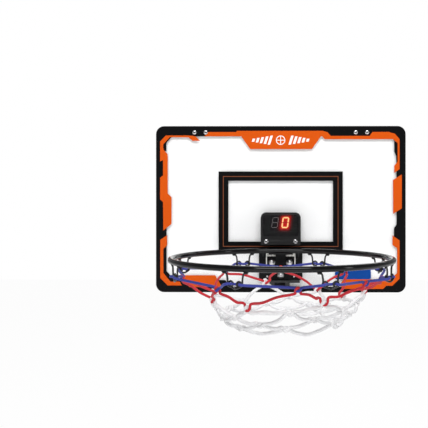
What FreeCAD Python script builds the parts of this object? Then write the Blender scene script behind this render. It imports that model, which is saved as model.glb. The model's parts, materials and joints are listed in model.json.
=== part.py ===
import FreeCAD, Part

import math
import os

from FreeCAD import Vector

# Small basketball hoop that hangs over a door: a printed board with a sprung rim, a knotted
# net, a two-digit score display and a ball sensor. All sizes are in millimetres.
#
# Frame: +X to the right as a player sees the board, +Y towards the door, +Z up.
# Origin: on the door's top front edge, midway between the two hooks.

# ---- board ----
BOARD_W = 300.0
BOARD_H = 200.0
BOARD_CORNER_R = 10.0
SHEET_T = 3.0
LINER_T = 0.8
LINER_INSET = 0.6
BOARD_TOP = 4.5
STANDOFF = 16.0

# ---- over-door hooks ----
HOOK_X = 96.75
HOOK_W = 28.0
HOOK_T = 1.8
HOOK_BEND_R = 1.5
HOOK_FRONT_DROP = 16.0
HOOK_REAR_DROP = 48.0
DOOR_MAX_T = 41.0
PAD_TOP_T = 2.0
PAD_REAR_T = 3.0
PAD_W = 24.0
PAD_REAR_DROP = 40.0
HOOK_SCREW_PITCH = 13.5
HOOK_SCREW_BELOW_TOP = 7.8

# ---- foam blocks behind the board ----
BUMPER_W = 30.0
BUMPER_H = 20.0
TOP_BUMPER_BELOW_TOP = 20.0
LOW_BUMPER_X = 125.0
LOW_BUMPER_UP = 8.0
BUMPER_R = 3.0

# ---- screws and nuts ----
M3_R = 1.5
M3_HEAD_R = 2.8
M3_HEAD_H = 1.9
M3_HEAD_CHAMFER = 0.65
RECESS_REACH = 1.75
RECESS_HALF_W = 0.4
RECESS_DEEP = 0.95
M3_NUT_AF = 5.5
M3_NUT_H = 2.4
M4_R = 2.0
M4_DOME_R = 4.15
M4_DOME_H = 2.5
M4_NUT_AF = 7.0
M4_NUT_H = 3.2
TIP_PAST_NUT = 0.8
HOLE_GAP = 0.1
THREAD_GAP = 0.03

# ---- rim bracket plate, heights above the board's bottom edge ----
PLATE_W = 52.0
PLATE_LOW = 15.2
PLATE_HIGH = 52.0
PLATE_T = 2.0
PLATE_CORNER_R = 3.5
GASKET_T = 1.5
EAR_IN_X = 18.6
EAR_T = 1.8
EAR_REACH = 9.2
EAR_LOW = 41.0
EAR_HIGH = 50.0
EAR_R = 3.7
LIP_W = 28.0
LIP_T = 2.0
LIP_REACH = 12.5
PEG_HOLE_R = 1.2
PEG_HOLE_X = 16.0
PEG_HOLE_UP = 19.6
BOLT_X = 10.4
BOLT_UP = 36.4
LOW_BOLT_UP = 20.8
BACKPLATE_W = 34.0
BACKPLATE_LOW = 16.0
BACKPLATE_HIGH = 42.5
BACKPLATE_T = 1.5

# ---- hinge ----
PIN_R = 1.0
PIN_GAP = 0.05
PIN_UP = 46.2
PIN_OUT = 6.0
PIN_HEAD_R = 2.0
PIN_HEAD_T = 1.0
CLIP_R = 2.6
CLIP_T = 0.6
CLIP_GAP = 0.3
CLIP_MOUTH = 1.6
EYE_WALL = 2.0
NECK_W = 10.8
ARM_T = 2.2
ARM_STOP_GAP = 0.2
ARM_FLARE_W = 28.0
TONGUE_W = 11.8
TONGUE_LOW = 31.0
TONGUE_R = 1.5
SPRING_WIRE_R = 0.7
SPRING_R = 2.5
SPRING_TURNS = 7
COIL_STEPS = 12
SPRING_IN_X = 6.0
SPRING_OUT_X = 17.6
SPRING_LEG_LOW = 31.0
SPRING_ARM_REACH = 10.0
RUN_GAP = 0.1

# ---- rim ----
RIM_R = 114.7
RIM_TUBE_R = 3.0
RIM_UP = 52.0
RIM_CENTRE_OUT = 140.0

# ---- net hooks, welded under the rim ----
NET_HOOKS = 8
NET_WIRE_R = 1.0
NET_FOOT_OUT = 14.0
NET_FOOT_IN = 8.0
NET_LEG_IN = 5.0
NET_WIRE_BEND = 1.5
NET_LEG_ABOVE_LOOP = 2.0
NET_LOOP_R = 4.6
NET_HOOK_DROP = 16.0
WELD_GAP = 0.05

# ---- net cords ----
CORD_R = 1.4
CORD_GAP = 0.15
WEAVE_SIDE = 2.7
WEAVE_IN = 2.0
WEAVE_OUT = 7.0
NET_ROW_DROP = [3.0, 11.0, 11.0, 9.0, 9.0]
NET_ROW_LOW_R = [108.0, 92.0, 84.0, 78.0, 72.0]

# ---- score display ----
SCORE_W = 47.4
SCORE_LOW = 57.8
SCORE_HIGH = 96.4
SCORE_DEPTH = 15.0
SCORE_TOP_R = 6.5
SCORE_LOW_R = 1.5
SCORE_WALL = 1.8
SCORE_CHAMFER = 0.8
LENS_W = 42.0
LENS_H = 25.0
LENS_T = 1.2
LENS_R = 3.0
LENS_LEDGE = 1.2
LENS_ABOVE_LOW = 10.7
FIT_GAP = 0.1
DIGITS_W = 25.0
DIGITS_H = 19.0
DIGITS_T = 8.0
DIGITS_UP = 84.1
DIGIT_X = [-6.7, 5.4]
DIGIT_W = 6.0
DIGIT_H = 11.8
DIGIT_LEAN = 0.14
SEGMENT_W = 1.6
SEGMENT_DEEP = 0.3
SCORE_PCB_T = 1.6
SCORE_SCREW_X = 17.2
SCORE_SCREW_UP = 62.2
BOSS_R = 3.2

# ---- battery box behind the board ----
BOX_W = 47.0
BOX_LOW = 44.0
BOX_HIGH = 94.5
BOX_DEPTH = 13.2
BOX_WALL = 1.5
BOX_R = 2.0
BAY_W = 23.0
CELL_R = 5.15
CELL_L = 44.5
CELL_NUB_R = 1.9
CELL_NUB_L = 0.8
CELL_PITCH = 10.8
CELL_LIFT = 2.55
CELL_FLOOR_GAP = 0.3
CONTACT_W = 8.0
CONTACT_T = 0.4
CONTACT_WIRE_R = 0.3
CONTACT_COIL_WIDE_R = 3.5
CONTACT_COIL_NARROW_R = 2.2
CONTACT_COIL_TURNS = 2.5
BAY_RIB_T = 1.0
DOOR_W = 27.0
DOOR_T = 1.2
RAIL_W = 2.6
RAIL_LIP = 1.2
RAIL_LIP_T = 0.8
DOOR_STOP_H = 1.5
GRIP_RIBS = 4
GRIP_PITCH = 2.4
GRIP_H = 1.2
GRIP_PROUD = 0.6
GRIP_LIFT = 4.0
SWITCH_UP = 78.0
SWITCH_TRAVEL = 2.5
SWITCH_HALF_DEPTH = 3.2
SWITCH_BELOW = 5.0
SWITCH_ABOVE = 7.0
KNOB_ROOT = 1.5
KNOB_W = 3.0
KNOB_H = 4.0
KNOB_PROUD = 2.0

# ---- ball sensor under the bracket plate ----
SENSOR_LEFT = -13.0
SENSOR_RIGHT = 10.5
SENSOR_LOW = 5.0
SENSOR_DEPTH = 12.0
SENSOR_WALL = 1.4
SENSOR_R = 1.0
SENSOR_PCB_T = 1.2
WINDOW_SET_BACK = 0.3
EYE_SET_BACK = 1.5
EYE_LENGTH = 3.5
FLANGE_RIGHT = 22.9
FLANGE_LOW = 12.0
TAB_HIGH = 27.0
EYE_WINDOW_LEFT = -7.4
EYE_WINDOW_RIGHT = 5.4
EYE_WINDOW_LOW = 8.2
EYE_WINDOW_HIGH = 13.3
EYE_R = 1.5
EYE_PITCH = 6.0
CABLE_R = 1.1
CABLE_X = 19.8
CABLE_UP = 13.5
CABLE_BEND_R = 3.0
CABLE_OFF_WALL = 2.0
CABLE_END_IN = 1.0
LINK_R = 1.2
LINK_X = -17.5
LINK_UP = 80.0

# ---- planes that the pieces share ----
BOARD_LOW = BOARD_TOP - BOARD_H
BACK_Y = -STANDOFF
SHEET_BACK_Y = BACK_Y - LINER_T
FRONT_Y = SHEET_BACK_Y - SHEET_T
PLATE_BACK_Y = FRONT_Y - GASKET_T
PLATE_Y = PLATE_BACK_Y - PLATE_T
PIN_Y = PLATE_Y - PIN_OUT
RIM_Y = FRONT_Y - RIM_CENTRE_OUT


def up(height):
    """Z of a height above the board's bottom edge."""
    return BOARD_LOW + height


PIN_Z = up(PIN_UP)
RIM_Z = up(RIM_UP)
HOOK_SCREW_Z = BOARD_TOP - HOOK_SCREW_BELOW_TOP
HOOK_SCREWS = [
    (side * HOOK_X + shift * HOOK_SCREW_PITCH / 2, HOOK_SCREW_Z)
    for side in (-1, 1)
    for shift in (-1, 1)
]
PLATE_BOLTS = [(-BOLT_X, up(BOLT_UP)), (BOLT_X, up(BOLT_UP)), (0.0, up(LOW_BOLT_UP))]
SCORE_SCREWS = [(side * SCORE_SCREW_X, up(SCORE_SCREW_UP)) for side in (-1, 1)]

os.makedirs("parts", exist_ok=True)


def box(x0, x1, y0, y1, z0, z1):
    return Part.makeBox(x1 - x0, y1 - y0, z1 - z0, Vector(x0, y0, z0))


def rod_y(radius, x, z, y0, y1):
    return Part.makeCylinder(radius, y1 - y0, Vector(x, y0, z), Vector(0, 1, 0))


def rod_x(radius, y, z, x0, x1):
    return Part.makeCylinder(radius, x1 - x0, Vector(x0, y, z), Vector(1, 0, 0))


def rod(radius, start, end):
    run = end.sub(start)
    return Part.makeCylinder(radius, run.Length, start, run)


def hex_y(across_flats, x, z, y0, y1):
    corner_r = across_flats / math.sqrt(3)
    corners = [
        Vector(x + corner_r * math.cos(math.radians(a)), y0, z + corner_r * math.sin(math.radians(a)))
        for a in range(0, 360, 60)
    ]
    corners.append(corners[0])
    return Part.Face(Part.makePolygon(corners)).extrude(Vector(0, y1 - y0, 0))


def round_edges(shape, along, radius, wanted):
    """Fillets the edges that run along an axis and whose middle passes the test."""
    picked = []
    for edge in shape.Edges:
        if len(edge.Vertexes) != 2:
            continue
        run = edge.Vertexes[1].Point.sub(edge.Vertexes[0].Point)
        if run.Length > 1e-6 and abs(run.dot(along)) > 0.999 * run.Length:
            middle = edge.CenterOfMass
            if wanted(middle):
                picked.append(edge)
    return shape.makeFillet(radius, picked)


def panel(x0, x1, y0, y1, z0, z1, corner_r):
    """A flat panel facing the player, with its four corners rounded."""
    flat = box(x0, x1, y0, y1, z0, z1)
    return round_edges(flat, Vector(0, 1, 0), corner_r, lambda middle: True)


def fuse(shapes):
    return shapes[0].multiFuse(shapes[1:]).removeSplitter()


def from_rim_axis(point):
    return Vector(point.x, point.y - RIM_Y, 0)


def from_pin_axis(point):
    return Vector(0, point.y - PIN_Y, point.z - PIN_Z)


def cord(points, radius, outwards=from_rim_axis, closed=False, sides=6):
    """A plain many-sided rope or wire along its points: flat facets, mitred at each point."""
    count = len(points)
    rings = []
    for i, point in enumerate(points):
        before = points[i - 1] if closed or i else point
        after = points[(i + 1) % count] if closed or i + 1 < count else point
        along = after.sub(before).normalize()
        side = along.cross(outwards(point)).normalize()
        lift = side.cross(along).normalize()
        ring = []
        for k in range(sides):
            a = 2 * math.pi * k / sides
            ring.append(point.add(side * (radius * math.cos(a))).add(lift * (radius * math.sin(a))))
        rings.append(ring)
    faces = []
    spans = count if closed else count - 1
    for i in range(spans):
        near = rings[i]
        far = rings[(i + 1) % count]
        for k in range(sides):
            m = (k + 1) % sides
            for corners in ((near[k], near[m], far[m]), (near[k], far[m], far[k])):
                faces.append(Part.Face(Part.makePolygon([*corners, corners[0]])))
    if not closed:
        for ring in (rings[0], rings[-1]):
            faces.append(Part.Face(Part.makePolygon([*ring, ring[0]])))
    solid = Part.makeSolid(Part.makeShell(faces))
    if solid.Volume < 0:
        solid.reverse()
    return solid


def save(name, *solids):
    shape = solids[0] if len(solids) == 1 else Part.makeCompound(list(solids))
    shape.exportStep(f"parts/{name}.step")


# ---- board ----
def make_board():
    sheet = panel(
        -BOARD_W / 2, BOARD_W / 2, FRONT_Y, SHEET_BACK_Y, BOARD_LOW, BOARD_TOP, BOARD_CORNER_R
    )
    liner = panel(
        -BOARD_W / 2 + LINER_INSET,
        BOARD_W / 2 - LINER_INSET,
        SHEET_BACK_Y,
        BACK_Y,
        BOARD_LOW + LINER_INSET,
        BOARD_TOP - LINER_INSET,
        BOARD_CORNER_R - LINER_INSET,
    )
    holes = [rod_y(M3_R + HOLE_GAP, x, z, FRONT_Y - 1, BACK_Y + 1) for x, z in HOOK_SCREWS + SCORE_SCREWS]
    holes += [rod_y(M4_R + HOLE_GAP, x, z, FRONT_Y - 1, BACK_Y + 1) for x, z in PLATE_BOLTS]
    holes.append(rod_y(CABLE_R + HOLE_GAP, CABLE_X, up(CABLE_UP), FRONT_Y - 1, BACK_Y + 1))
    holes.append(rod_y(LINK_R + HOLE_GAP, LINK_X, up(LINK_UP), FRONT_Y - 1, BACK_Y + 1))
    save("backboard", sheet.cut(holes))
    save("board_liner", liner.cut(holes))


# ---- hooks, their pads, screws and nuts ----
def make_hooks():
    seat_z = PAD_TOP_T
    top_z = seat_z + HOOK_T
    rear_y = DOOR_MAX_T + PAD_REAR_T
    for name, centre in (("left", -HOOK_X), ("right", HOOK_X)):
        x0 = centre - HOOK_W / 2
        x1 = centre + HOOK_W / 2
        outside = box(x0, x1, BACK_Y, rear_y + HOOK_T, -HOOK_REAR_DROP, top_z)
        inside = box(x0, x1, BACK_Y + HOOK_T, rear_y, -HOOK_REAR_DROP, seat_z)
        strip = outside.cut(inside)
        strip = strip.cut(box(x0, x1, BACK_Y, BACK_Y + HOOK_T, -HOOK_REAR_DROP, top_z - HOOK_FRONT_DROP))
        sideways = Vector(1, 0, 0)
        strip = round_edges(strip, sideways, HOOK_BEND_R + HOOK_T, lambda m: m.z > top_z - 0.01)
        strip = round_edges(strip, sideways, HOOK_BEND_R, lambda m: abs(m.z - seat_z) < 0.01)
        strip = round_edges(
            strip,
            Vector(0, 1, 0),
            PAD_REAR_T,
            lambda m: m.z < -HOOK_REAR_DROP + 0.01,
        )
        holes = [
            rod_y(M3_R + HOLE_GAP, x, z, BACK_Y - 1, BACK_Y + HOOK_T + 1) for x, z in HOOK_SCREWS
        ]
        save(f"hook_{name}", strip.cut(holes))

        p0 = centre - PAD_W / 2
        p1 = centre + PAD_W / 2
        pad = box(p0, p1, 0, rear_y - HOOK_BEND_R, 0, seat_z)
        pad = pad.fuse(box(p0, p1, DOOR_MAX_T, rear_y, -PAD_REAR_DROP, seat_z - HOOK_BEND_R))
        save(f"hook_pad_{name}", pad.removeSplitter())

    nut_y = BACK_Y + HOOK_T
    screws = []
    nuts = []
    for x, z in HOOK_SCREWS:
        screws.append(pan_screw(x, z, FRONT_Y, nut_y + M3_NUT_H + TIP_PAST_NUT))
        nut = hex_y(M3_NUT_AF, x, z, nut_y, nut_y + M3_NUT_H)
        nuts.append(nut.cut(rod_y(M3_R + THREAD_GAP, x, z, nut_y - 1, nut_y + M3_NUT_H + 1)))
    save("hook_screws", *screws)
    save("hook_nuts", *nuts)


def pan_screw(x, z, seat_y, tip_y):
    """A pan-head screw with a cross recess, its head in front of the seat."""
    face_y = seat_y - M3_HEAD_H
    head = rod_y(M3_HEAD_R, x, z, face_y, seat_y)
    rim = [edge for edge in head.Edges if edge.CenterOfMass.y < face_y + 0.01]
    head = head.makeChamfer(M3_HEAD_CHAMFER, rim)
    reach = RECESS_REACH
    half = RECESS_HALF_W
    cross = box(x - reach, x + reach, face_y, face_y + RECESS_DEEP, z - half, z + half)
    cross = cross.fuse(box(x - half, x + half, face_y, face_y + RECESS_DEEP, z - reach, z + reach))
    return head.cut(cross).fuse(rod_y(M3_R, x, z, seat_y, tip_y)).removeSplitter()


def make_bumpers():
    for name, side in (("left", -1), ("right", 1)):
        x = side * HOOK_X
        high = BOARD_TOP - TOP_BUMPER_BELOW_TOP
        save(
            f"top_bumper_{name}",
            panel(x - BUMPER_W / 2, x + BUMPER_W / 2, BACK_Y, 0, high - BUMPER_H, high, BUMPER_R),
        )
        x = side * LOW_BUMPER_X
        low = up(LOW_BUMPER_UP)
        save(
            f"low_bumper_{name}",
            panel(x - BUMPER_W / 2, x + BUMPER_W / 2, BACK_Y, 0, low, low + BUMPER_H, BUMPER_R),
        )


# ---- rim bracket ----
def make_bracket():
    half = PLATE_W / 2
    plate = box(-half, half, PLATE_Y, PLATE_BACK_Y, up(PLATE_LOW), up(PLATE_HIGH))
    plate = round_edges(plate, Vector(0, 1, 0), PLATE_CORNER_R, lambda m: m.z < up(PLATE_LOW) + 0.01)
    lip_front = PLATE_Y - LIP_REACH
    lip = box(-LIP_W / 2, LIP_W / 2, lip_front, PLATE_Y, up(PLATE_HIGH) - LIP_T, up(PLATE_HIGH))
    lip = round_edges(lip, Vector(0, 0, 1), PLATE_CORNER_R, lambda m: m.y < lip_front + 0.01)
    pieces = [plate, lip]
    for side in (-1, 1):
        x0, x1 = sorted((side * EAR_IN_X, side * (EAR_IN_X + EAR_T)))
        ear = box(x0, x1, PLATE_Y - EAR_REACH, PLATE_Y, up(EAR_LOW), up(EAR_HIGH))
        ear = round_edges(
            ear, Vector(1, 0, 0), EAR_R, lambda m: m.y < PLATE_Y - EAR_REACH + 0.01
        )
        pieces.append(ear)
    cuts = [rod_y(M4_R + HOLE_GAP, x, z, PLATE_Y - 1, PLATE_BACK_Y + 1) for x, z in PLATE_BOLTS]
    for side in (-1, 1):
        cuts.append(rod_y(PEG_HOLE_R, side * PEG_HOLE_X, up(PEG_HOLE_UP), PLATE_Y - 1, PLATE_BACK_Y + 1))
    reach = EAR_IN_X + EAR_T + 1
    cuts.append(rod_x(PIN_R + THREAD_GAP, PIN_Y, PIN_Z, -reach, reach))
    save("rim_plate", fuse(pieces).cut(cuts))

    gasket = box(-half, half, PLATE_BACK_Y, FRONT_Y, up(PLATE_LOW), up(PLATE_HIGH))
    gasket = round_edges(gasket, Vector(0, 1, 0), PLATE_CORNER_R, lambda m: m.z < up(PLATE_LOW) + 0.01)
    notch = box(
        SENSOR_LEFT - FIT_GAP,
        FLANGE_RIGHT + FIT_GAP,
        PLATE_BACK_Y - 1,
        FRONT_Y + 1,
        up(SENSOR_LOW),
        up(TAB_HIGH) + FIT_GAP,
    )
    gasket = gasket.cut(
        [notch] + [rod_y(M4_R + HOLE_GAP, x, z, PLATE_BACK_Y - 1, FRONT_Y + 1) for x, z in PLATE_BOLTS]
    )
    save("plate_gasket", *gasket.Solids)

    back = panel(
        -BACKPLATE_W / 2,
        BACKPLATE_W / 2,
        BACK_Y,
        BACK_Y + BACKPLATE_T,
        up(BACKPLATE_LOW),
        up(BACKPLATE_HIGH),
        PLATE_CORNER_R,
    )
    save("rim_backplate", back.cut([rod_y(M4_R + HOLE_GAP, x, z, BACK_Y - 1, 0) for x, z in PLATE_BOLTS]))

    nut_y = BACK_Y + BACKPLATE_T
    bolts = []
    nuts = []
    for x, z in PLATE_BOLTS:
        bolts.append(dome_bolt(x, z, PLATE_Y, nut_y + M4_NUT_H + TIP_PAST_NUT))
        nut = hex_y(M4_NUT_AF, x, z, nut_y, nut_y + M4_NUT_H)
        nuts.append(nut.cut(rod_y(M4_R + THREAD_GAP, x, z, nut_y - 1, nut_y + M4_NUT_H + 1)))
    save("plate_bolts", *bolts)
    save("plate_nuts", *nuts)


def dome_bolt(x, z, seat_y, tip_y):
    """A plain dome-head bolt: the head is a cap of a ball."""
    ball_r = (M4_DOME_R**2 + M4_DOME_H**2) / (2 * M4_DOME_H)
    ball = Part.makeSphere(ball_r, Vector(x, seat_y - M4_DOME_H + ball_r, z))
    keep = box(x - ball_r, x + ball_r, seat_y - M4_DOME_H, seat_y, z - ball_r, z + ball_r)
    return ball.common(keep).fuse(rod_y(M4_R, x, z, seat_y, tip_y)).removeSplitter()


# ---- hinge pin, clip and springs ----
def make_hinge():
    ear_out = EAR_IN_X + EAR_T
    groove_x = ear_out + CLIP_GAP
    pin = rod_x(PIN_R, PIN_Y, PIN_Z, -ear_out - CLIP_GAP, groove_x + 2 * CLIP_T)
    head = rod_x(PIN_HEAD_R, PIN_Y, PIN_Z, -ear_out - CLIP_GAP - PIN_HEAD_T, -ear_out - CLIP_GAP)
    save("hinge_pin", pin.fuse(head).removeSplitter())

    clip = rod_x(CLIP_R, PIN_Y, PIN_Z, groove_x, groove_x + CLIP_T)
    clip = clip.cut(rod_x(PIN_R + THREAD_GAP, PIN_Y, PIN_Z, groove_x - 1, groove_x + 2))
    half = CLIP_MOUTH / 2
    mouth = box(groove_x - 1, groove_x + 2, PIN_Y - half, PIN_Y + half, PIN_Z - CLIP_R - 1, PIN_Z)
    save("pin_clip", clip.cut(mouth))

    for name, side in (("left", -1), ("right", 1)):
        save(f"spring_{name}", make_spring(side))


def tangent_angle(y, z, radius, turn):
    """The angle on a circle round the pin where a straight line from (y, z) just touches it."""
    return math.atan2(z, y) + turn * math.acos(radius / math.hypot(y, z))


def make_spring(side):
    """A torsion spring: a coil on the pin, one leg on the plate and one under the arm."""
    radius = SPRING_R - SPRING_WIRE_R
    outer_x = SPRING_OUT_X - SPRING_WIRE_R
    inner_x = SPRING_IN_X + SPRING_WIRE_R
    plate_y = PLATE_Y - SPRING_WIRE_R - RUN_GAP - PIN_Y
    plate_z = up(SPRING_LEG_LOW) - PIN_Z
    arm_low = up(PLATE_HIGH) - LIP_T - ARM_STOP_GAP - ARM_T
    arm_z = arm_low - SPRING_WIRE_R - RUN_GAP - PIN_Z
    start = tangent_angle(plate_y, plate_z, radius, -1)
    end = tangent_angle(-SPRING_ARM_REACH, arm_z, radius, 1) - 2 * math.pi * SPRING_TURNS
    steps = SPRING_TURNS * COIL_STEPS
    points = [Vector(outer_x, PIN_Y + plate_y, PIN_Z + plate_z)]
    for i in range(steps + 1):
        a = start + (end - start) * i / steps
        x = outer_x + (inner_x - outer_x) * i / steps
        points.append(Vector(x, PIN_Y + radius * math.cos(a), PIN_Z + radius * math.sin(a)))
    points.append(Vector(inner_x, PIN_Y - SPRING_ARM_REACH, PIN_Z + arm_z))
    points = [Vector(side * point.x, point.y, point.z) for point in points]
    return cord(points, SPRING_WIRE_R, from_pin_axis)


# ---- rim: arm, ring, net hooks ----
def rim_tube():
    return Part.makeTorus(RIM_R, RIM_TUBE_R, Vector(0, RIM_Y, RIM_Z), Vector(0, 0, 1))


def make_arm():
    """The strap that carries the ring: an eye on the pin, a flared seat and a stop tongue."""
    top = up(PLATE_HIGH) - LIP_T - ARM_STOP_GAP
    low = top - ARM_T
    eye_r = PIN_R + PIN_GAP + EYE_WALL
    seat_y = RIM_Y + RIM_R
    front = seat_y - RIM_TUBE_R
    flare_y = PIN_Y - eye_r - RUN_GAP
    plan = [
        Vector(-NECK_W / 2, PIN_Y, low),
        Vector(-NECK_W / 2, flare_y, low),
        Vector(-ARM_FLARE_W / 2, seat_y + RIM_TUBE_R, low),
        Vector(-ARM_FLARE_W / 2, front, low),
        Vector(ARM_FLARE_W / 2, front, low),
        Vector(ARM_FLARE_W / 2, seat_y + RIM_TUBE_R, low),
        Vector(NECK_W / 2, flare_y, low),
        Vector(NECK_W / 2, PIN_Y, low),
    ]
    plan.append(plan[0])
    strap = Part.Face(Part.makePolygon(plan)).extrude(Vector(0, 0, ARM_T))
    eye = rod_x(eye_r, PIN_Y, PIN_Z, -NECK_W / 2, NECK_W / 2)
    tongue_front = PIN_Y - eye_r
    tongue = box(
        -NECK_W / 2, NECK_W / 2, tongue_front, tongue_front + ARM_T, up(TONGUE_LOW), PIN_Z
    )
    paddle = box(
        -TONGUE_W / 2,
        TONGUE_W / 2,
        tongue_front,
        tongue_front + ARM_T,
        up(TONGUE_LOW),
        PIN_Z - SPRING_R - ARM_T,
    )
    paddle = round_edges(paddle, Vector(0, 1, 0), TONGUE_R, lambda m: m.z < up(TONGUE_LOW) + 0.01)
    below = box(-NECK_W, NECK_W, tongue_front - 1, PIN_Y, up(TONGUE_LOW) - 1, paddle.BoundBox.ZMax - 1)
    tongue = tongue.cut(below)
    arm = fuse([strap, eye, tongue, paddle])
    arm = arm.cut([rod_x(PIN_R + PIN_GAP, PIN_Y, PIN_Z, -NECK_W, NECK_W), rim_tube()])
    save("rim_arm", arm)


def on_rim(azimuth, along, radius, z):
    """A point by its azimuth from the front, its distance along the rim and its radius."""
    a = math.radians(azimuth) + along / RIM_R
    return Vector(radius * math.sin(a), RIM_Y - radius * math.cos(a), z)


def hook_azimuth(index):
    return (index + 0.5) * 360.0 / NET_HOOKS


def make_rim():
    save("rim_ring", rim_tube())
    foot_z = RIM_Z - RIM_TUBE_R - NET_WIRE_R - WELD_GAP
    loop_z = foot_z - NET_HOOK_DROP + NET_LOOP_R + NET_WIRE_R
    side = [
        (NET_FOOT_OUT, foot_z),
        (NET_FOOT_IN, foot_z),
        (NET_FOOT_IN - NET_WIRE_BEND, foot_z - NET_WIRE_BEND),
        (NET_LEG_IN, loop_z + NET_LEG_ABOVE_LOOP),
    ]
    loop = [
        (NET_LOOP_R * math.cos(math.radians(a)), loop_z - NET_LOOP_R * math.sin(math.radians(a)))
        for a in range(0, 181, 30)
    ]
    outline = side + loop + [(-s, z) for s, z in reversed(side)]
    for index in range(NET_HOOKS):
        azimuth = hook_azimuth(index)
        points = [on_rim(azimuth, s, RIM_R, z) for s, z in outline]
        save(f"net_hook_{index + 1}", cord(points, NET_WIRE_R))
    return loop_z - NET_LOOP_R + NET_WIRE_R + CORD_R + CORD_GAP


# ---- net ----
def make_net(cord_z):
    """Five zigzag rows. The blue row threads the hooks, and each row hangs from the one above."""
    step = 2 * CORD_R + CORD_GAP
    threaded = []
    low_z = cord_z - NET_ROW_DROP[0]
    for index in range(NET_HOOKS):
        azimuth = hook_azimuth(index)
        side = 1 if index % 2 else -1
        for along in (-WEAVE_OUT, -WEAVE_IN, WEAVE_IN, WEAVE_OUT):
            radius = RIM_R + side * math.copysign(WEAVE_SIDE, along)
            threaded.append(on_rim(azimuth, along, radius, cord_z))
        threaded.append(on_rim(azimuth + 180.0 / NET_HOOKS, 0, NET_ROW_LOW_R[0], low_z))
    save("net_blue_cord", cord(threaded, CORD_R, closed=True))

    rows = []
    for row in range(1, len(NET_ROW_DROP)):
        top_z = low_z - step
        low_z = top_z - NET_ROW_DROP[row]
        offset = 180.0 / NET_HOOKS if row % 2 else 0.0
        points = []
        for index in range(NET_HOOKS):
            azimuth = hook_azimuth(index) + offset
            points.append(on_rim(azimuth, 0, NET_ROW_LOW_R[row - 1], top_z))
            points.append(on_rim(azimuth + 180.0 / NET_HOOKS, 0, NET_ROW_LOW_R[row], low_z))
        rows.append(cord(points, CORD_R, closed=True))
    save("net_red_cord", rows[0])
    save("net_white_cord", *rows[1:])


# ---- score display ----
def make_score():
    half = SCORE_W / 2
    face_y = FRONT_Y - SCORE_DEPTH
    low = up(SCORE_LOW)
    high = up(SCORE_HIGH)

    def outline(inset, y0, y1):
        body = box(-half + inset, half - inset, y0, y1, low + inset, high - inset)
        top_r = max(SCORE_TOP_R - inset, 0.5)
        low_r = max(SCORE_LOW_R - inset, 0.5)
        body = round_edges(body, Vector(0, 1, 0), top_r, lambda m: m.z > high - inset - 0.01)
        return round_edges(body, Vector(0, 1, 0), low_r, lambda m: m.z < low + inset + 0.01)

    body = outline(0, face_y, FRONT_Y)
    rim = [edge for edge in body.Edges if edge.BoundBox.YMax < face_y + 0.01]
    body = body.makeChamfer(SCORE_CHAMFER, rim)
    shell = body.cut(outline(SCORE_WALL, face_y + SCORE_WALL, FRONT_Y + 1))
    bosses = [rod_y(BOSS_R, x, z, face_y + SCORE_WALL, FRONT_Y) for x, z in SCORE_SCREWS]
    shell = fuse([shell] + bosses)
    lens_low = low + LENS_ABOVE_LOW
    lens_box = (-LENS_W / 2, LENS_W / 2, lens_low, lens_low + LENS_H)
    seat = panel(
        lens_box[0] - FIT_GAP,
        lens_box[1] + FIT_GAP,
        face_y - 1,
        face_y + LENS_T,
        lens_box[2] - FIT_GAP,
        lens_box[3] + FIT_GAP,
        LENS_R + FIT_GAP,
    )
    window = panel(
        lens_box[0] + LENS_LEDGE,
        lens_box[1] - LENS_LEDGE,
        face_y - 1,
        face_y + SCORE_WALL + 1,
        lens_box[2] + LENS_LEDGE,
        lens_box[3] - LENS_LEDGE,
        LENS_R - LENS_LEDGE,
    )
    holes = [rod_y(M3_R + HOLE_GAP, x, z, face_y - 1, FRONT_Y + 1) for x, z in SCORE_SCREWS]
    save("score_housing", shell.cut([seat, window] + holes))
    save(
        "score_lens",
        panel(lens_box[0], lens_box[1], face_y, face_y + LENS_T, lens_box[2], lens_box[3], LENS_R),
    )

    digits_y = face_y + SCORE_WALL + RUN_GAP
    digits_low = up(DIGITS_UP) - DIGITS_H / 2
    digits = box(
        -DIGITS_W / 2, DIGITS_W / 2, digits_y, digits_y + DIGITS_T, digits_low, digits_low + DIGITS_H
    )
    save("digit_display", digits.cut([segment for x in DIGIT_X for segment in segments(x, digits_y)]))
    pcb_y = digits_y + DIGITS_T
    pcb_half = half - SCORE_WALL - FIT_GAP
    pcb = outline(SCORE_WALL + FIT_GAP, pcb_y, pcb_y + SCORE_PCB_T)
    notch = [
        rod_y(BOSS_R + FIT_GAP, x, z, pcb_y - 1, pcb_y + SCORE_PCB_T + 1).fuse(
            box(min(x, side * pcb_half), max(x, side * pcb_half), pcb_y - 1, pcb_y + 3, low, z + BOSS_R)
        )
        for side, (x, z) in zip((-1, 1), SCORE_SCREWS)
    ]
    save("score_circuit", pcb.cut(notch))
    save("link_lead", rod_y(LINK_R, LINK_X, up(LINK_UP), pcb_y + SCORE_PCB_T, BACK_Y + BOX_WALL + 1))
    screw_tip = BACK_Y + BOX_DEPTH - 2 * BOX_WALL
    save("score_screws", *[pan_screw(x, z, face_y, screw_tip) for x, z in SCORE_SCREWS])


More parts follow.
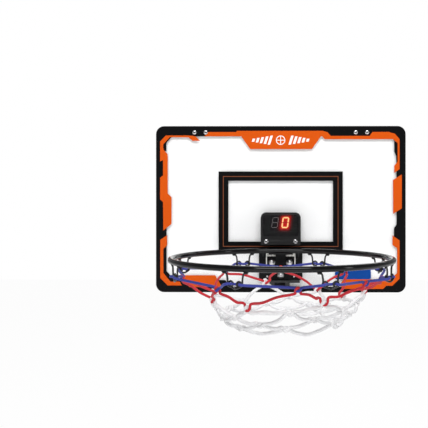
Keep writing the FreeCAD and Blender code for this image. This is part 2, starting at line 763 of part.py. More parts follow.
def segments(x, y):
    """The seven recesses of one digit: bars with pointed ends, leaning to the right."""
    half_w = DIGIT_W / 2
    half_h = DIGIT_H / 2
    bars = [((-half_w, level), (half_w, level)) for level in (-half_h, 0, half_h)]
    for column in (-half_w, half_w):
        bars += [((column, 0), (column, half_h)), ((column, 0), (column, -half_h))]
    cuts = []
    for start, end in bars:
        run = Vector(end[0] - start[0], 0, end[1] - start[1]).normalize()
        side = Vector(-run.z, 0, run.x) * (SEGMENT_W / 2)
        tip = run * (SEGMENT_W / 2)
        first = Vector(start[0], 0, start[1]) + run * FIT_GAP
        last = Vector(end[0], 0, end[1]) - run * FIT_GAP
        flat = [first, first + tip + side, last - tip + side, last, last - tip - side, first + tip - side]
        corners = [Vector(x + p.x + DIGIT_LEAN * p.z, y, up(DIGITS_UP) + p.z) for p in flat]
        corners.append(corners[0])
        cuts.append(Part.Face(Part.makePolygon(corners)).extrude(Vector(0, SEGMENT_DEEP, 0)))
    return cuts


# ---- battery box ----
def contact_coil(x, y, wide_z, narrow_z):
    """A coned contact spring, from its wide end on the plate to its narrow end on the cell."""
    steps = int(CONTACT_COIL_TURNS * COIL_STEPS)
    points = []
    for i in range(steps + 1):
        share = i / steps
        radius = CONTACT_COIL_WIDE_R + (CONTACT_COIL_NARROW_R - CONTACT_COIL_WIDE_R) * share
        a = 2 * math.pi * i / COIL_STEPS
        z = wide_z + (narrow_z - wide_z) * share
        points.append(Vector(x + radius * math.cos(a), y + radius * math.sin(a), z))
    return cord(points, CONTACT_WIRE_R, lambda point: Vector(point.x - x, point.y - y, 0))


def make_battery_box():
    half = BOX_W / 2
    low = up(BOX_LOW)
    high = up(BOX_HIGH)
    back_y = BACK_Y + BOX_DEPTH
    shell = panel(-half, half, BACK_Y, back_y, low, high, BOX_R)
    floor_z = low + BOX_WALL
    roof_z = high - BOX_WALL
    hollow = box(
        -half + BOX_WALL, half - BOX_WALL, BACK_Y + BOX_WALL, back_y - BOX_WALL, floor_z, roof_z
    )
    bay = box(-BAY_W / 2, BAY_W / 2, BACK_Y + BOX_WALL, back_y + 1, floor_z, roof_z)
    ribs = [
        box(x, x + BAY_RIB_T, BACK_Y + BOX_WALL, back_y - BOX_WALL, floor_z, roof_z)
        for x in (-BAY_W / 2 - BAY_RIB_T, BAY_W / 2)
    ]
    bosses = [rod_y(BOSS_R, x, z, BACK_Y + BOX_WALL, back_y - BOX_WALL) for x, z in SCORE_SCREWS]
    rails = []
    for side in (-1, 1):
        x0, x1 = sorted((side * (DOOR_W / 2 + RUN_GAP), side * (DOOR_W / 2 + RUN_GAP + RAIL_W)))
        rail_y = back_y + DOOR_T + 2 * RUN_GAP
        rails.append(box(x0, x1, back_y, rail_y, low + BOX_R, high - BOX_R))
        l0, l1 = sorted((side * (DOOR_W / 2 - RAIL_LIP), side * (DOOR_W / 2 + RUN_GAP + RAIL_W)))
        rails.append(box(l0, l1, rail_y, rail_y + RAIL_LIP_T, low + BOX_R, high - BOX_R))
    stop_half = DOOR_W / 2 + RUN_GAP + RAIL_W
    stop_z = low + BOX_R
    rails.append(
        box(-stop_half, stop_half, back_y, rail_y + RAIL_LIP_T, stop_z - DOOR_STOP_H, stop_z)
    )
    body = fuse([shell.cut([hollow])] + ribs + bosses + rails)
    knob_x = half + 1
    knob_y = BACK_Y + BOX_DEPTH / 2
    slot = box(
        half - BOX_WALL - 1,
        knob_x,
        knob_y - KNOB_W / 2 - RUN_GAP,
        knob_y + KNOB_W / 2 + RUN_GAP,
        up(SWITCH_UP) - KNOB_H / 2 - RUN_GAP,
        up(SWITCH_UP) + KNOB_H / 2 + SWITCH_TRAVEL + RUN_GAP,
    )
    screw_holes = [rod_y(M3_R + THREAD_GAP, x, z, BACK_Y - 1, back_y - BOX_WALL) for x, z in SCORE_SCREWS]
    ways = [
        rod_y(LINK_R + HOLE_GAP, LINK_X, up(LINK_UP), BACK_Y - 1, BACK_Y + BOX_WALL + 1),
        Part.makeCylinder(
            CABLE_R + HOLE_GAP, 4, Vector(CABLE_X, cable_back_y(), low - 1), Vector(0, 0, 1)
        ),
    ]
    save("battery_box", body.cut([bay, slot] + screw_holes + ways))

    door_low = low + BOX_R + FIT_GAP / 2
    door = box(
        -DOOR_W / 2, DOOR_W / 2, back_y + RUN_GAP, back_y + RUN_GAP + DOOR_T, door_low, high - BOX_R
    )
    rib_y = back_y + RUN_GAP + DOOR_T
    grips = [
        box(-DOOR_W / 4, DOOR_W / 4, rib_y, rib_y + GRIP_PROUD, grip_z, grip_z + GRIP_H)
        for grip_z in (door_low + GRIP_LIFT + GRIP_PITCH * i for i in range(GRIP_RIBS))
    ]
    save("battery_door", fuse([door] + grips))

    cell_y = BACK_Y + BOX_WALL + CELL_R + CELL_FLOOR_GAP
    cell_low = floor_z + CELL_LIFT
    cells = []
    contacts = []
    for index, x in enumerate((-CELL_PITCH / 2, CELL_PITCH / 2)):
        can = Part.makeCylinder(CELL_R, CELL_L - CELL_NUB_L, Vector(x, cell_y, cell_low), Vector(0, 0, 1))
        nub = Part.makeCylinder(
            CELL_NUB_R, CELL_NUB_L, Vector(x, cell_y, cell_low + CELL_L - CELL_NUB_L), Vector(0, 0, 1)
        )
        cell = can.fuse(nub)
        if index:
            cell = cell.mirror(Vector(0, 0, (floor_z + roof_z) / 2), Vector(0, 0, 1))
        cells.append(cell)
        x0 = x - CONTACT_W / 2
        y0 = cell_y - CONTACT_W / 2
        contacts.append(box(x0, x0 + CONTACT_W, y0, y0 + CONTACT_W, floor_z, floor_z + CONTACT_T))
        contacts.append(box(x0, x0 + CONTACT_W, y0, y0 + CONTACT_W, roof_z - CONTACT_T, roof_z))
        reach = CONTACT_WIRE_R + FIT_GAP
        ends = (floor_z + CONTACT_T + reach, cell_low - reach)
        if index:
            ends = tuple(floor_z + roof_z - z for z in ends)
        contacts.append(contact_coil(x, cell_y, *ends))
    save("cells", *cells)
    save("cell_contacts", *contacts)

    body_x = half - BOX_WALL - RUN_GAP
    save(
        "switch_body",
        box(
            BAY_W / 2 + BAY_RIB_T + RUN_GAP,
            body_x - KNOB_ROOT - RUN_GAP,
            knob_y - SWITCH_HALF_DEPTH,
            knob_y + SWITCH_HALF_DEPTH,
            up(SWITCH_UP) - SWITCH_BELOW,
            up(SWITCH_UP) + SWITCH_ABOVE,
        ),
    )
    knob = box(
        body_x - KNOB_ROOT,
        half + KNOB_PROUD,
        knob_y - KNOB_W / 2,
        knob_y + KNOB_W / 2,
        up(SWITCH_UP) - KNOB_H / 2,
        up(SWITCH_UP) + KNOB_H / 2,
    )
    save("power_switch", knob)


# ---- ball sensor ----
def cable_back_y():
    return BACK_Y + BOX_WALL + CABLE_R + CABLE_OFF_WALL


def make_sensor():
    face_y = FRONT_Y - SENSOR_DEPTH
    low = up(SENSOR_LOW)
    shelf = up(PLATE_LOW) - FIT_GAP
    case = panel(SENSOR_LEFT, SENSOR_RIGHT, face_y, FRONT_Y, low, shelf, SENSOR_R)
    inner = box(
        SENSOR_LEFT + SENSOR_WALL,
        SENSOR_RIGHT - SENSOR_WALL,
        face_y + SENSOR_WALL,
        FRONT_Y + 1,
        low + SENSOR_WALL,
        shelf - SENSOR_WALL,
    )
    flange = box(SENSOR_RIGHT, FLANGE_RIGHT, PLATE_Y, FRONT_Y, up(FLANGE_LOW), shelf)
    tab = box(SENSOR_LEFT, FLANGE_RIGHT, PLATE_BACK_Y + RUN_GAP / 2, FRONT_Y, shelf, up(TAB_HIGH))
    window = box(
        EYE_WINDOW_LEFT,
        EYE_WINDOW_RIGHT,
        face_y - 1,
        face_y + SENSOR_WALL + 1,
        up(EYE_WINDOW_LOW),
        up(EYE_WINDOW_HIGH),
    )
    cuts = [inner, window, rod_y(M4_R + HOLE_GAP, 0, up(LOW_BOLT_UP), PLATE_Y - 1, FRONT_Y + 1)]
    cuts.append(rod_y(CABLE_R + HOLE_GAP, CABLE_X, up(CABLE_UP), PLATE_BACK_Y, FRONT_Y + 1))
    for side in (-1, 1):
        cuts.append(rod_y(PEG_HOLE_R, side * PEG_HOLE_X, up(PEG_HOLE_UP), PLATE_Y, FRONT_Y + 1))
    save("sensor_housing", fuse([case, flange, tab]).cut(cuts))
    save(
        "sensor_window",
        box(
            EYE_WINDOW_LEFT + FIT_GAP,
            EYE_WINDOW_RIGHT - FIT_GAP,
            face_y + WINDOW_SET_BACK,
            face_y + SENSOR_WALL,
            up(EYE_WINDOW_LOW) + FIT_GAP,
            up(EYE_WINDOW_HIGH) - FIT_GAP,
        ),
    )
    middle_x = (EYE_WINDOW_LEFT + EYE_WINDOW_RIGHT) / 2
    middle_z = up((EYE_WINDOW_LOW + EYE_WINDOW_HIGH) / 2)
    dome_y = face_y + SENSOR_WALL + EYE_SET_BACK
    board_y = dome_y + EYE_LENGTH
    eyes = []
    for side in (-1, 1):
        x = middle_x + side * EYE_PITCH / 2
        body = rod_y(EYE_R, x, middle_z, dome_y, board_y)
        dome = Part.makeSphere(EYE_R, Vector(x, dome_y, middle_z))
        eyes.append(body.fuse(dome).removeSplitter())
    save("sensor_eyes", *eyes)
    save(
        "sensor_circuit",
        box(
            SENSOR_LEFT + SENSOR_WALL + FIT_GAP,
            SENSOR_RIGHT - SENSOR_WALL - FIT_GAP,
            board_y,
            board_y + SENSOR_PCB_T,
            low + SENSOR_WALL + FIT_GAP,
            shelf - SENSOR_WALL - FIT_GAP,
        ),
    )

    bend_y = cable_back_y()
    start = Vector(CABLE_X, PLATE_BACK_Y + RUN_GAP, up(CABLE_UP))
    bend = Vector(CABLE_X, bend_y - CABLE_BEND_R, up(CABLE_UP))
    rise = Vector(CABLE_X, bend_y, up(CABLE_UP) + CABLE_BEND_R)
    slack = CABLE_BEND_R * (1 - math.sqrt(0.5))
    between = Vector(CABLE_X, bend_y - slack, up(CABLE_UP) + slack)
    end = Vector(CABLE_X, bend_y, up(BOX_LOW) + BOX_WALL + CABLE_END_IN)
    route = Part.Wire(
        [
            Part.LineSegment(start, bend).toShape(),
            Part.Arc(bend, between, rise).toShape(),
            Part.LineSegment(rise, end).toShape(),
        ]
    )
    ring = Part.Wire(Part.makeCircle(CABLE_R, start, Vector(0, 1, 0)))
    save("sensor_cable", route.makePipeShell([ring], True, True))


def main():
    make_board()
    make_hooks()
    make_bumpers()
    make_bracket()
    make_hinge()
    make_arm()
    make_net(make_rim())
    make_score()
    make_battery_box()
    make_sensor()


main()
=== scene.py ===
import json
import math
import random

import bmesh
import bpy
from mathutils import Matrix, Vector


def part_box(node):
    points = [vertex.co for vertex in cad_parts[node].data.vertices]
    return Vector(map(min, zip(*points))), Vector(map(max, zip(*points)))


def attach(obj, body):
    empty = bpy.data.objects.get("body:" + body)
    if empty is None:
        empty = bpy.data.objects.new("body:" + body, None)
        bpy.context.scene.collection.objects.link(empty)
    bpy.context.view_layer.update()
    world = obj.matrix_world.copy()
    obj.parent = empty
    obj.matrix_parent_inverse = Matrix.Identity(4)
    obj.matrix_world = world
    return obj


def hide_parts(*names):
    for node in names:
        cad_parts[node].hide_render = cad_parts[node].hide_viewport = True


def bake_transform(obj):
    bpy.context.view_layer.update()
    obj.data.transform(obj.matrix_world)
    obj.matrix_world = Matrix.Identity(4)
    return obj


bl_info = {
    "name": "Door hoop looks",
    "version": (1, 0, 0),
    "blender": (4, 5, 0),
    "location": "View3D > Sidebar > Hoop",
    "description": "Builds the visible finish of a small basketball hoop around its fixed frame",
    "category": "Object",
}

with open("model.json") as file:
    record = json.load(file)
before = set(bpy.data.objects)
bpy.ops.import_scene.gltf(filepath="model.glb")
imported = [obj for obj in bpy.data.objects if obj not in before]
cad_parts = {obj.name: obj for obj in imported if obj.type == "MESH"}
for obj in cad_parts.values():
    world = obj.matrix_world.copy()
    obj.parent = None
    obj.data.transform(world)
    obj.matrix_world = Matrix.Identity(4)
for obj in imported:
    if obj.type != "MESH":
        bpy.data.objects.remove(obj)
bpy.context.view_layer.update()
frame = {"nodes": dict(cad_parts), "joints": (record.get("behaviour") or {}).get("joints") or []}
MM = 0.001
SWEEP_SIDES = 10
SWEEP_STEP = 1.2 * MM
# How far the clear sheet's back is drawn in from the liner, and the printed share of an ink layer.
SHEET_GAP = 0.06 * MM
LAYER_SHARE = 0.9

# ---- places read from the frame ----
SHEET_LOW, SHEET_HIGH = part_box("backboard")
RING_LOW, RING_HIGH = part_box("rim_ring")
RIM_CENTRE = (RING_LOW + RING_HIGH) / 2
TUBE_R = (RING_HIGH.z - RING_LOW.z) / 2
RIM_R = (RING_HIGH.x - RING_LOW.x) / 2 - TUBE_R
BOARD_W = SHEET_HIGH.x - SHEET_LOW.x
BOARD_H = SHEET_HIGH.z - SHEET_LOW.z
HOOK_COUNT = 8
HINGE = next(joint for joint in frame["joints"] if joint["name"] == "rim_breakaway")
PIN = Vector(HINGE["pos_m"])


def place(x, height, y):
    """A point from its place on the board: across and above the bottom edge in mm, y in metres."""
    return Vector((x * MM, y, SHEET_LOW.z + height * MM))


def around(azimuth, radius, drop):
    """A point by its azimuth from the rim's front, its radius and its height, in degrees and mm."""
    a = math.radians(azimuth)
    side = Vector((math.sin(a), -math.cos(a), 0)) * radius * MM
    return RIM_CENTRE + side + Vector((0, 0, drop * MM))


# ---- properties ----
def colour(label, about, value):
    return bpy.props.FloatVectorProperty(
        name=label, description=about, subtype="COLOR", size=3, min=0, max=1, default=value
    )


def length(label, about, value):
    return bpy.props.FloatProperty(name=label, description=about, default=value, min=0, unit="LENGTH")


def number(label, about, value):
    return bpy.props.FloatProperty(name=label, description=about, default=value, min=0)


class HoopPrintProperties(bpy.types.PropertyGroup):
    black: colour("Black ink", "Border and shooting square", (0.0035, 0.0035, 0.004))
    orange: colour("Orange ink", "Stripes and banner", (0.66, 0.088, 0.004))
    line: colour("Line ink", "Fine line round the shooting square", (0.27, 0.08, 0.035))
    white: colour("White ink", "Marks on the banner", (0.9, 0.9, 0.9))
    plate: colour("Name plate", "The bare plate at the lower right", (0.004, 0.058, 0.29))
    layer: length("Ink layer", "Thickness of one printed layer", 0.06 * MM)


class HoopNetProperties(bpy.types.PropertyGroup):
    blue: colour("Blue cord", "Top row of the net", (0.040, 0.052, 0.32))
    red: colour("Red cord", "Second row of the net", (0.60, 0.026, 0.038))
    white: colour("White cord", "Lower rows of the net", (0.9, 0.9, 0.91))
    cord_radius: length("Cord radius", "Half the thickness of the blue and red cords", 1.35 * MM)
    soft_radius: length("Soft cord radius", "Half the thickness of the white cords", 1.8 * MM)
    wire_radius: length("Hook wire radius", "Half the net hooks' wire thickness", 0.95 * MM)


class HoopMetalProperties(bpy.types.PropertyGroup):
    rim: colour("Rim paint", "Gloss coat on the ring", (0.0025, 0.0025, 0.003))
    bracket: colour("Bracket paint", "Satin coat on plate and arm", (0.0065, 0.0065, 0.007))
    bright: colour("Bright plate", "Screws, bolts and springs", (0.72, 0.72, 0.73))
    spring_wire: length("Spring wire radius", "Half the spring wire's thickness", 0.68 * MM)
    spring_turns: bpy.props.IntProperty(
        name="Spring turns", description="Turns in each coil", default=7, min=3
    )


class HoopDisplayProperties(bpy.types.PropertyGroup):
    lit: colour("Lit segment", "Core of a lit segment", (1.0, 0.66, 0.27))
    glow: colour("Glow", "Light around a lit segment", (1.0, 0.012, 0.002))
    unlit: colour("Unlit segment", "A segment that is off", (0.85, 0.77, 0.77))
    digit_height: length("Digit height", "Height of one digit", 13.4 * MM)
    digit_width: length("Digit width", "Width of one digit", 8.3 * MM)
    pitch: length("Digit pitch", "Distance between the digits' middles", 12.1 * MM)


class HoopStageProperties(bpy.types.PropertyGroup):
    distance: length("Camera distance", "From the camera to the board's face", 1.04)
    lens: bpy.props.FloatProperty(
        name="Lens", description="Focal length", default=72.9, min=10, unit="CAMERA"
    )
    key: number("Key light", "Power of the large lamp", 17.9)
    fill: number("Fill", "Strength of the surroundings", 0.47)


# ---- node helpers ----
def node_group(name, kind, inputs, outputs):
    """A new node tree, its input sockets and its output node, from each socket's kind and default."""
    tree = bpy.data.node_groups.new(name, kind)
    for label, (socket, value) in inputs.items():
        made = tree.interface.new_socket(label, in_out="INPUT", socket_type="NodeSocket" + socket)
        if value is not None:
            made.default_value = value
    for label, socket in outputs.items():
        tree.interface.new_socket(label, in_out="OUTPUT", socket_type="NodeSocket" + socket)
    entry = tree.nodes.new("NodeGroupInput")
    leave = tree.nodes.new("NodeGroupOutput")
    return tree, entry.outputs, leave


def shared(maker):
    """The node tree that a maker builds under its own name, made once."""
    return bpy.data.node_groups.get(maker.__name__) or maker()


def feed(tree, node, inputs):
    """Links or sets a node's inputs by name or number."""
    for socket, source in inputs.items():
        if isinstance(source, bpy.types.NodeSocket):
            tree.links.new(source, node.inputs[socket])
        else:
            node.inputs[socket].default_value = source


def add(tree, kind, inputs=None, **settings):
    """Adds a node, sets its options and then its inputs."""
    node = tree.nodes.new(kind)
    for key, value in settings.items():
        setattr(node, key, value)
    feed(tree, node, inputs or {})
    return node


def first(tree, kind, inputs=None, **settings):
    """Adds a node and gives its first output."""
    return add(tree, kind, inputs, **settings).outputs[0]


def maths(tree, operation, one, two=0.0, three=0.0):
    return first(tree, "ShaderNodeMath", {0: one, 1: two, 2: three}, operation=operation)


def scaled(tree, vector, scale):
    return first(tree, "ShaderNodeVectorMath", {0: vector, "Scale": scale}, operation="SCALE")


def noise(tree, vector, scale, detail=2.0):
    return first(tree, "ShaderNodeTexNoise", {"Vector": vector, "Scale": scale, "Detail": detail})


def grouped(tree, maker, inputs):
    """Adds a shared shader group and gives its outputs."""
    return add(tree, "ShaderNodeGroup", inputs, node_tree=shared(maker)).outputs


# ---- shader groups shared by several materials ----
def worked_surface():
    """Tone, gloss and grain that drift over a moulded, painted or printed surface."""
    inputs = {
        "Vector": ("Vector", None),
        "Colour": ("Color", (0.5, 0.5, 0.5, 1)),
        "Tone": ("Float", 0.1),
        "Roughness": ("Float", 0.5),
        "Wear": ("Float", 0.1),
        "Patch": ("Float", 40.0),
        "Grain": ("Float", 1500.0),
    }
    outputs = {"Colour": "Color", "Roughness": "Float", "Height": "Float"}
    tree, entry, leave = node_group("worked_surface", "ShaderNodeTree", inputs, outputs)
    swing = maths(tree, "SUBTRACT", noise(tree, entry["Vector"], entry["Patch"], 4.0), 0.5)
    tone = maths(tree, "MULTIPLY_ADD", swing, entry["Tone"], 1.0)
    results = {
        "Colour": scaled(tree, entry["Colour"], tone),
        "Roughness": maths(tree, "MULTIPLY_ADD", swing, entry["Wear"], entry["Roughness"]),
        "Height": noise(tree, entry["Vector"], entry["Grain"]),
    }
    feed(tree, leave, results)
    return tree


def drawn_lines():
    """Fine parallel lines, as on rolled, drawn or turned metal."""
    inputs = {"Vector": ("Vector", None), "Stretch": ("Vector", (1.0, 1.0, 0.02)), "Scale": ("Float", 3000.0)}
    tree, entry, leave = node_group("drawn_lines", "ShaderNodeTree", inputs, {"Height": "Float"})
    vectors = {0: entry["Vector"], 1: entry["Stretch"]}
    along = first(tree, "ShaderNodeVectorMath", vectors, operation="MULTIPLY")
    feed(tree, leave, {"Height": noise(tree, along, entry["Scale"])})
    return tree


def braid():
    """The crossed strands of a braided cord, laid round and along the cord."""
    inputs = {"Lay": ("Vector", None), "Strands": ("Float", 4.0), "Turns": ("Float", 2.4)}
    tree, entry, leave = node_group("braid", "ShaderNodeTree", inputs, {"Height": "Float"})
    lay = add(tree, "ShaderNodeSeparateXYZ", {0: entry["Lay"]}).outputs
    angle = maths(tree, "MULTIPLY", maths(tree, "ARCTAN2", lay[1], lay[0]), entry["Strands"])
    run = maths(tree, "MULTIPLY", lay[2], entry["Turns"])
    strands = []
    for way in ("ADD", "SUBTRACT"):
        wave = maths(tree, "SINE", maths(tree, way, angle, run))
        strands.append(maths(tree, "ABSOLUTE", wave))
    both = maths(tree, "MULTIPLY", *strands)
    feed(tree, leave, {"Height": maths(tree, "POWER", both, 0.5)})
    return tree


def digit_glow():
    """How near a point is to the lit digit: 1 on its strokes, fading outwards and, slower, inwards."""
    inputs = {
        "Vector": ("Vector", None),
        "Middle": ("Vector", (0, 0, 0)),
        "Half": ("Vector", (0.003, 1.0, 0.006)),
        "Lean": ("Float", 0.14),
        "Reach": ("Float", 0.003),
    }
    tree, entry, leave = node_group("digit_glow", "ShaderNodeTree", inputs, {"Glow": "Float"})
    vectors = {0: entry["Vector"], 1: entry["Middle"]}
    offset = first(tree, "ShaderNodeVectorMath", vectors, operation="SUBTRACT")
    part = add(tree, "ShaderNodeSeparateXYZ", {0: offset}).outputs
    half = add(tree, "ShaderNodeSeparateXYZ", {0: entry["Half"]}).outputs
    across = maths(tree, "SUBTRACT", part[0], maths(tree, "MULTIPLY", part[2], entry["Lean"]))
    past = []
    squares = []
    for away, limit in ((across, half[0]), (part[2], half[2])):
        past.append(maths(tree, "SUBTRACT", maths(tree, "ABSOLUTE", away), limit))
        far = maths(tree, "MAXIMUM", past[-1], 0.0)
        squares.append(maths(tree, "MULTIPLY", far, far))
    outside = maths(tree, "SQRT", maths(tree, "ADD", *squares))
    within = maths(tree, "MINIMUM", maths(tree, "MAXIMUM", *past), 0.0)
    inside = maths(tree, "MULTIPLY", within, -INWARD_FADE)
    reach = maths(tree, "DIVIDE", maths(tree, "ADD", outside, inside), entry["Reach"])
    fall = maths(tree, "MULTIPLY", maths(tree, "MULTIPLY", reach, reach), -1.0)
    feed(tree, leave, {"Glow": maths(tree, "EXPONENT", fall)})
    return tree


# ---- materials ----
INWARD_FADE = 0.45
PLAIN_SPECULAR = 0.5
# Tint (none where the panel sets it), roughness, drift of the tone and of the roughness, scale of the
# patches and of the grain, depth of the grain in mm, and specular level.
FINISHES = {
    "clear_sheet": ((0.86, 0.91, 0.92), 0.08, 0.03, 0.05, 8.0, 400.0, 0.004, PLAIN_SPECULAR),
    "liner": ((0.96, 0.96, 0.96), 0.6, 0.02, 0.08, 6.0, 900.0, 0.01, 0.2),
    "foam": ((0.016, 0.016, 0.017), 0.92, 0.5, 0.05, 300.0, 2200.0, 0.35, 0.2),
    "ink": (None, 0.42, 0.06, 0.12, 30.0, 1800.0, 0.006, 0.06),
    "pin_coat": ((0.01, 0.01, 0.011), 0.4, 0.15, 0.12, 90.0, 1500.0, 0.01, 0.3),
    "hook_paint": ((0.012, 0.012, 0.013), 0.45, 0.12, 0.16, 60.0, 1500.0, 0.02, 0.35),
    "bracket_paint": (None, 0.38, 0.15, 0.15, 80.0, 1700.0, 0.02, 0.1),
    "arm_paint": (None, 0.42, 0.2, 0.15, 90.0, 1700.0, 0.02, 0.12),
    "gasket_rubber": ((0.012, 0.012, 0.012), 0.85, 0.2, 0.05, 120.0, 2500.0, 0.03, PLAIN_SPECULAR),
    "peg_plastic": ((0.8, 0.79, 0.78), 0.4, 0.06, 0.1, 200.0, 2600.0, 0.01, PLAIN_SPECULAR),
    "rim_gloss": (None, 0.09, 0.1, 0.06, 50.0, 900.0, 0.001, 0.34),
    "hook_wire": ((0.008, 0.008, 0.009), 0.3, 0.1, 0.12, 90.0, 1500.0, 0.01, PLAIN_SPECULAR),
    "circuit_lacquer": ((0.004, 0.028, 0.012), 0.3, 0.3, 0.1, 200.0, 900.0, 0.02, PLAIN_SPECULAR),
    "segment_off": (None, 0.5, 0.1, 0.05, 300.0, 2000.0, 0.005, PLAIN_SPECULAR),
    # segment_dim's dark red tint is painted light from the lit strokes beside it.
    "segment_dim": ((0.3, 0.03, 0.05), 0.5, 0.1, 0.05, 300.0, 2000.0, 0.005, PLAIN_SPECULAR),
    "case_plastic": ((0.014, 0.014, 0.015), 0.55, 0.12, 0.1, 60.0, 2600.0, 0.05, 0.35),
    "knob_plastic": ((0.5, 0.5, 0.49), 0.45, 0.08, 0.1, 200.0, 2600.0, 0.03, PLAIN_SPECULAR),
    "cell_sleeve": ((0.06, 0.07, 0.09), 0.25, 0.1, 0.1, 60.0, 900.0, 0.01, PLAIN_SPECULAR),
    "sensor_plastic": ((0.036, 0.038, 0.038), 0.5, 0.15, 0.1, 80.0, 2400.0, 0.04, 0.25),
    "sensor_glass": ((0.002, 0.002, 0.003), 0.12, 0.1, 0.04, 60.0, 500.0, 0.002, 0.08),
    "cable_sleeve": ((0.007, 0.007, 0.007), 0.5, 0.1, 0.1, 100.0, 1800.0, 0.02, PLAIN_SPECULAR),
}
# Tint, roughness, and the stretch, scale and depth in mm of the fine lines.
METALS = {
    "bright_plate": (None, 0.24, (1.0, 0.05, 1.0), 2600.0, 0.004),
    "bolt_plate": (None, 0.32, (1.0, 0.05, 1.0), 1800.0, 0.002),
    "zinc_plate": ((0.45, 0.46, 0.47), 0.34, (1.0, 0.1, 1.0), 2200.0, 0.01),
    "spring_wire": ((0.9, 0.89, 0.85), 0.4, (1.0, 1.0, 1.0), 2400.0, 0.003),
    "contact_plate": ((0.62, 0.6, 0.5), 0.3, (1, 1, 0.1), 2500.0, 0.01),
}


def base_material(name, **constants):
    """A material with its shader's fixed sockets set, and the tree, shader and coordinates."""
    material = bpy.data.materials.new(name)
    material.use_nodes = True
    tree = material.node_tree
    shader = next(node for node in tree.nodes if node.type == "BSDF_PRINCIPLED")
    for socket, value in constants.items():
        shader.inputs[socket.replace("_", " ")].default_value = value
    coordinates = add(tree, "ShaderNodeTexCoord").outputs["Object"]
    return material, tree, shader, coordinates


def raise_surface(tree, shader, height, depth, strength=1.0):
    bump = add(tree, "ShaderNodeBump", {"Height": height, "Distance": depth, "Strength": strength})
    feed(tree, shader, {"Normal": bump.outputs["Normal"]})


def worked(tree, shader, coordinates, colour, roughness, tone, wear, patch, grain):
    """Puts the worked surface's colour and roughness on a shader, and gives its outputs."""
    values = {
        "Vector": coordinates,
        "Colour": colour,
        "Tone": tone,
        "Roughness": roughness,
        "Wear": wear,
        "Patch": patch,
        "Grain": grain,
    }
    surface = grouped(tree, worked_surface, values)
    feed(tree, shader, {"Base Color": surface["Colour"], "Roughness": surface["Roughness"]})
    return surface


def coated(name, tint=None, finish=None, **constants):
    """A moulded, painted or printed material, from its own finish or a shared one."""
    own, roughness, tone, wear, patch, grain, depth, specular = FINISHES[finish or name]
    tint = own if tint is None else tint
    material, tree, shader, coordinates = base_material(name, Specular_IOR_Level=specular, **constants)
    surface = worked(tree, shader, coordinates, (*tint, 1), roughness, tone, wear, patch, grain)
    raise_surface(tree, shader, surface["Height"], depth * MM)
    return material


def metal(name, tint=None):
    """A bare or plated metal with fine lines along one way, with painted shade and more roughness where a
    mesh marks a recess.
    """
    own, roughness, stretch, scale, depth = METALS[name]
    tint = own if tint is None else tint
    material, tree, shader, coordinates = base_material(name, Metallic=1.0)
    surface = worked(tree, shader, coordinates, (*tint, 1), roughness, 0.12, 0.12, 120.0, scale)
    lines = grouped(tree, drawn_lines, {"Vector": coordinates, "Stretch": stretch, "Scale": scale})
    painted_recess_shade = add(tree, "ShaderNodeAttribute", attribute_name="painted_recess_shade").outputs["Fac"]
    # Painted shade: the colour is darkened inside the screw recess, where the mark is set.
    recess_shaded = scaled(tree, surface["Colour"], maths(tree, "MULTIPLY_ADD", painted_recess_shade, -0.88, 1.0))
    duller = maths(tree, "MULTIPLY_ADD", painted_recess_shade, 0.3, surface["Roughness"])
    feed(tree, shader, {"Base Color": recess_shaded, "Roughness": duller})
    raise_surface(tree, shader, lines["Height"], depth * MM)
    return material


def braided_cord(name, tint):
    """Soft braided cord: crossed strands in relief, with painted shade between them."""
    constants = {"Sheen_Weight": 0.12, "Sheen_Roughness": 0.6, "Specular_IOR_Level": 0.2}
    material, tree, shader, coordinates = base_material(name, **constants)
    lay = add(tree, "ShaderNodeAttribute", attribute_name="lay").outputs["Vector"]
    relief = grouped(tree, braid, {"Lay": lay, "Strands": 4.0, "Turns": 2.2})["Height"]
    # Painted shade: the tint drops where the braid's relief is low, between the strands.
    tone = scaled(tree, (*tint,), maths(tree, "MULTIPLY_ADD", relief, 0.2, 0.84))
    worked(tree, shader, coordinates, tone, 0.78, 0.22, 0.1, 160.0, 5000.0)
    raise_surface(tree, shader, relief, 0.2 * MM, 0.8)
    return material


def glowing(name, tint, roughness, strength, reach, alpha=1.0):
    """A dark gloss face with a painted glow of the lit digit behind or beside it, given off as emission."""
    looks = bpy.context.scene.hoop_display
    constants = {"Alpha": alpha, "Specular_IOR_Level": 0.12, "Emission_Strength": strength}
    material, tree, shader, coordinates = base_material(name, **constants)
    surface = worked(tree, shader, coordinates, (*tint, 1), roughness, 0.15, 0.08, 60.0, 900.0)
    half_w, half_h = digit_half(looks)
    values = {
        "Vector": coordinates,
        "Middle": lit_middle(),
        "Half": (half_w, 1.0, half_h),
        "Lean": DIGIT_LEAN,
        "Reach": reach,
    }
    # Painted glow: the face emits the digit's light round its strokes, fading with distance.
    glow = grouped(tree, digit_glow, values)["Glow"]
    feed(tree, shader, {"Emission Color": scaled(tree, (*looks.glow,), glow)})
    raise_surface(tree, shader, surface["Height"], 0.004 * MM)
    return material


def give(material, *nodes):
    """Puts a material on CAD nodes."""
    for node in nodes:
        for entry in frame["nodes"][node].material_slots:
            entry.material = material


# ---- mesh helpers ----
def new_piece(name, data, material=None):
    piece = bpy.data.objects.new(name, data)
    bpy.context.scene.collection.objects.link(piece)
    if material:
        data.materials.clear()
        data.materials.append(material)
    return piece


def drop(*objects):
    for spare in objects:
        bpy.data.objects.remove(spare)


def mesh_of(work, name):
    """The mesh of a finished bmesh, which is then freed."""
    mesh = bpy.data.meshes.new(name)
    work.to_mesh(mesh)
    work.free()
    return mesh


def smooth_by_angle(mesh, degrees=35.0):
    """Smooth faces with sharp edges where the surface turns by more than the angle."""
    work = bmesh.new()
    work.from_mesh(mesh)
    for face in work.faces:
        face.smooth = True
    for edge in work.edges:
        edge.smooth = edge.is_manifold and edge.calc_face_angle(0.0) < math.radians(degrees)
    work.to_mesh(mesh)
    work.free()


def evaluated_mesh(source):
    graph = bpy.context.evaluated_depsgraph_get()
    return bpy.data.meshes.new_from_object(source.evaluated_get(graph))


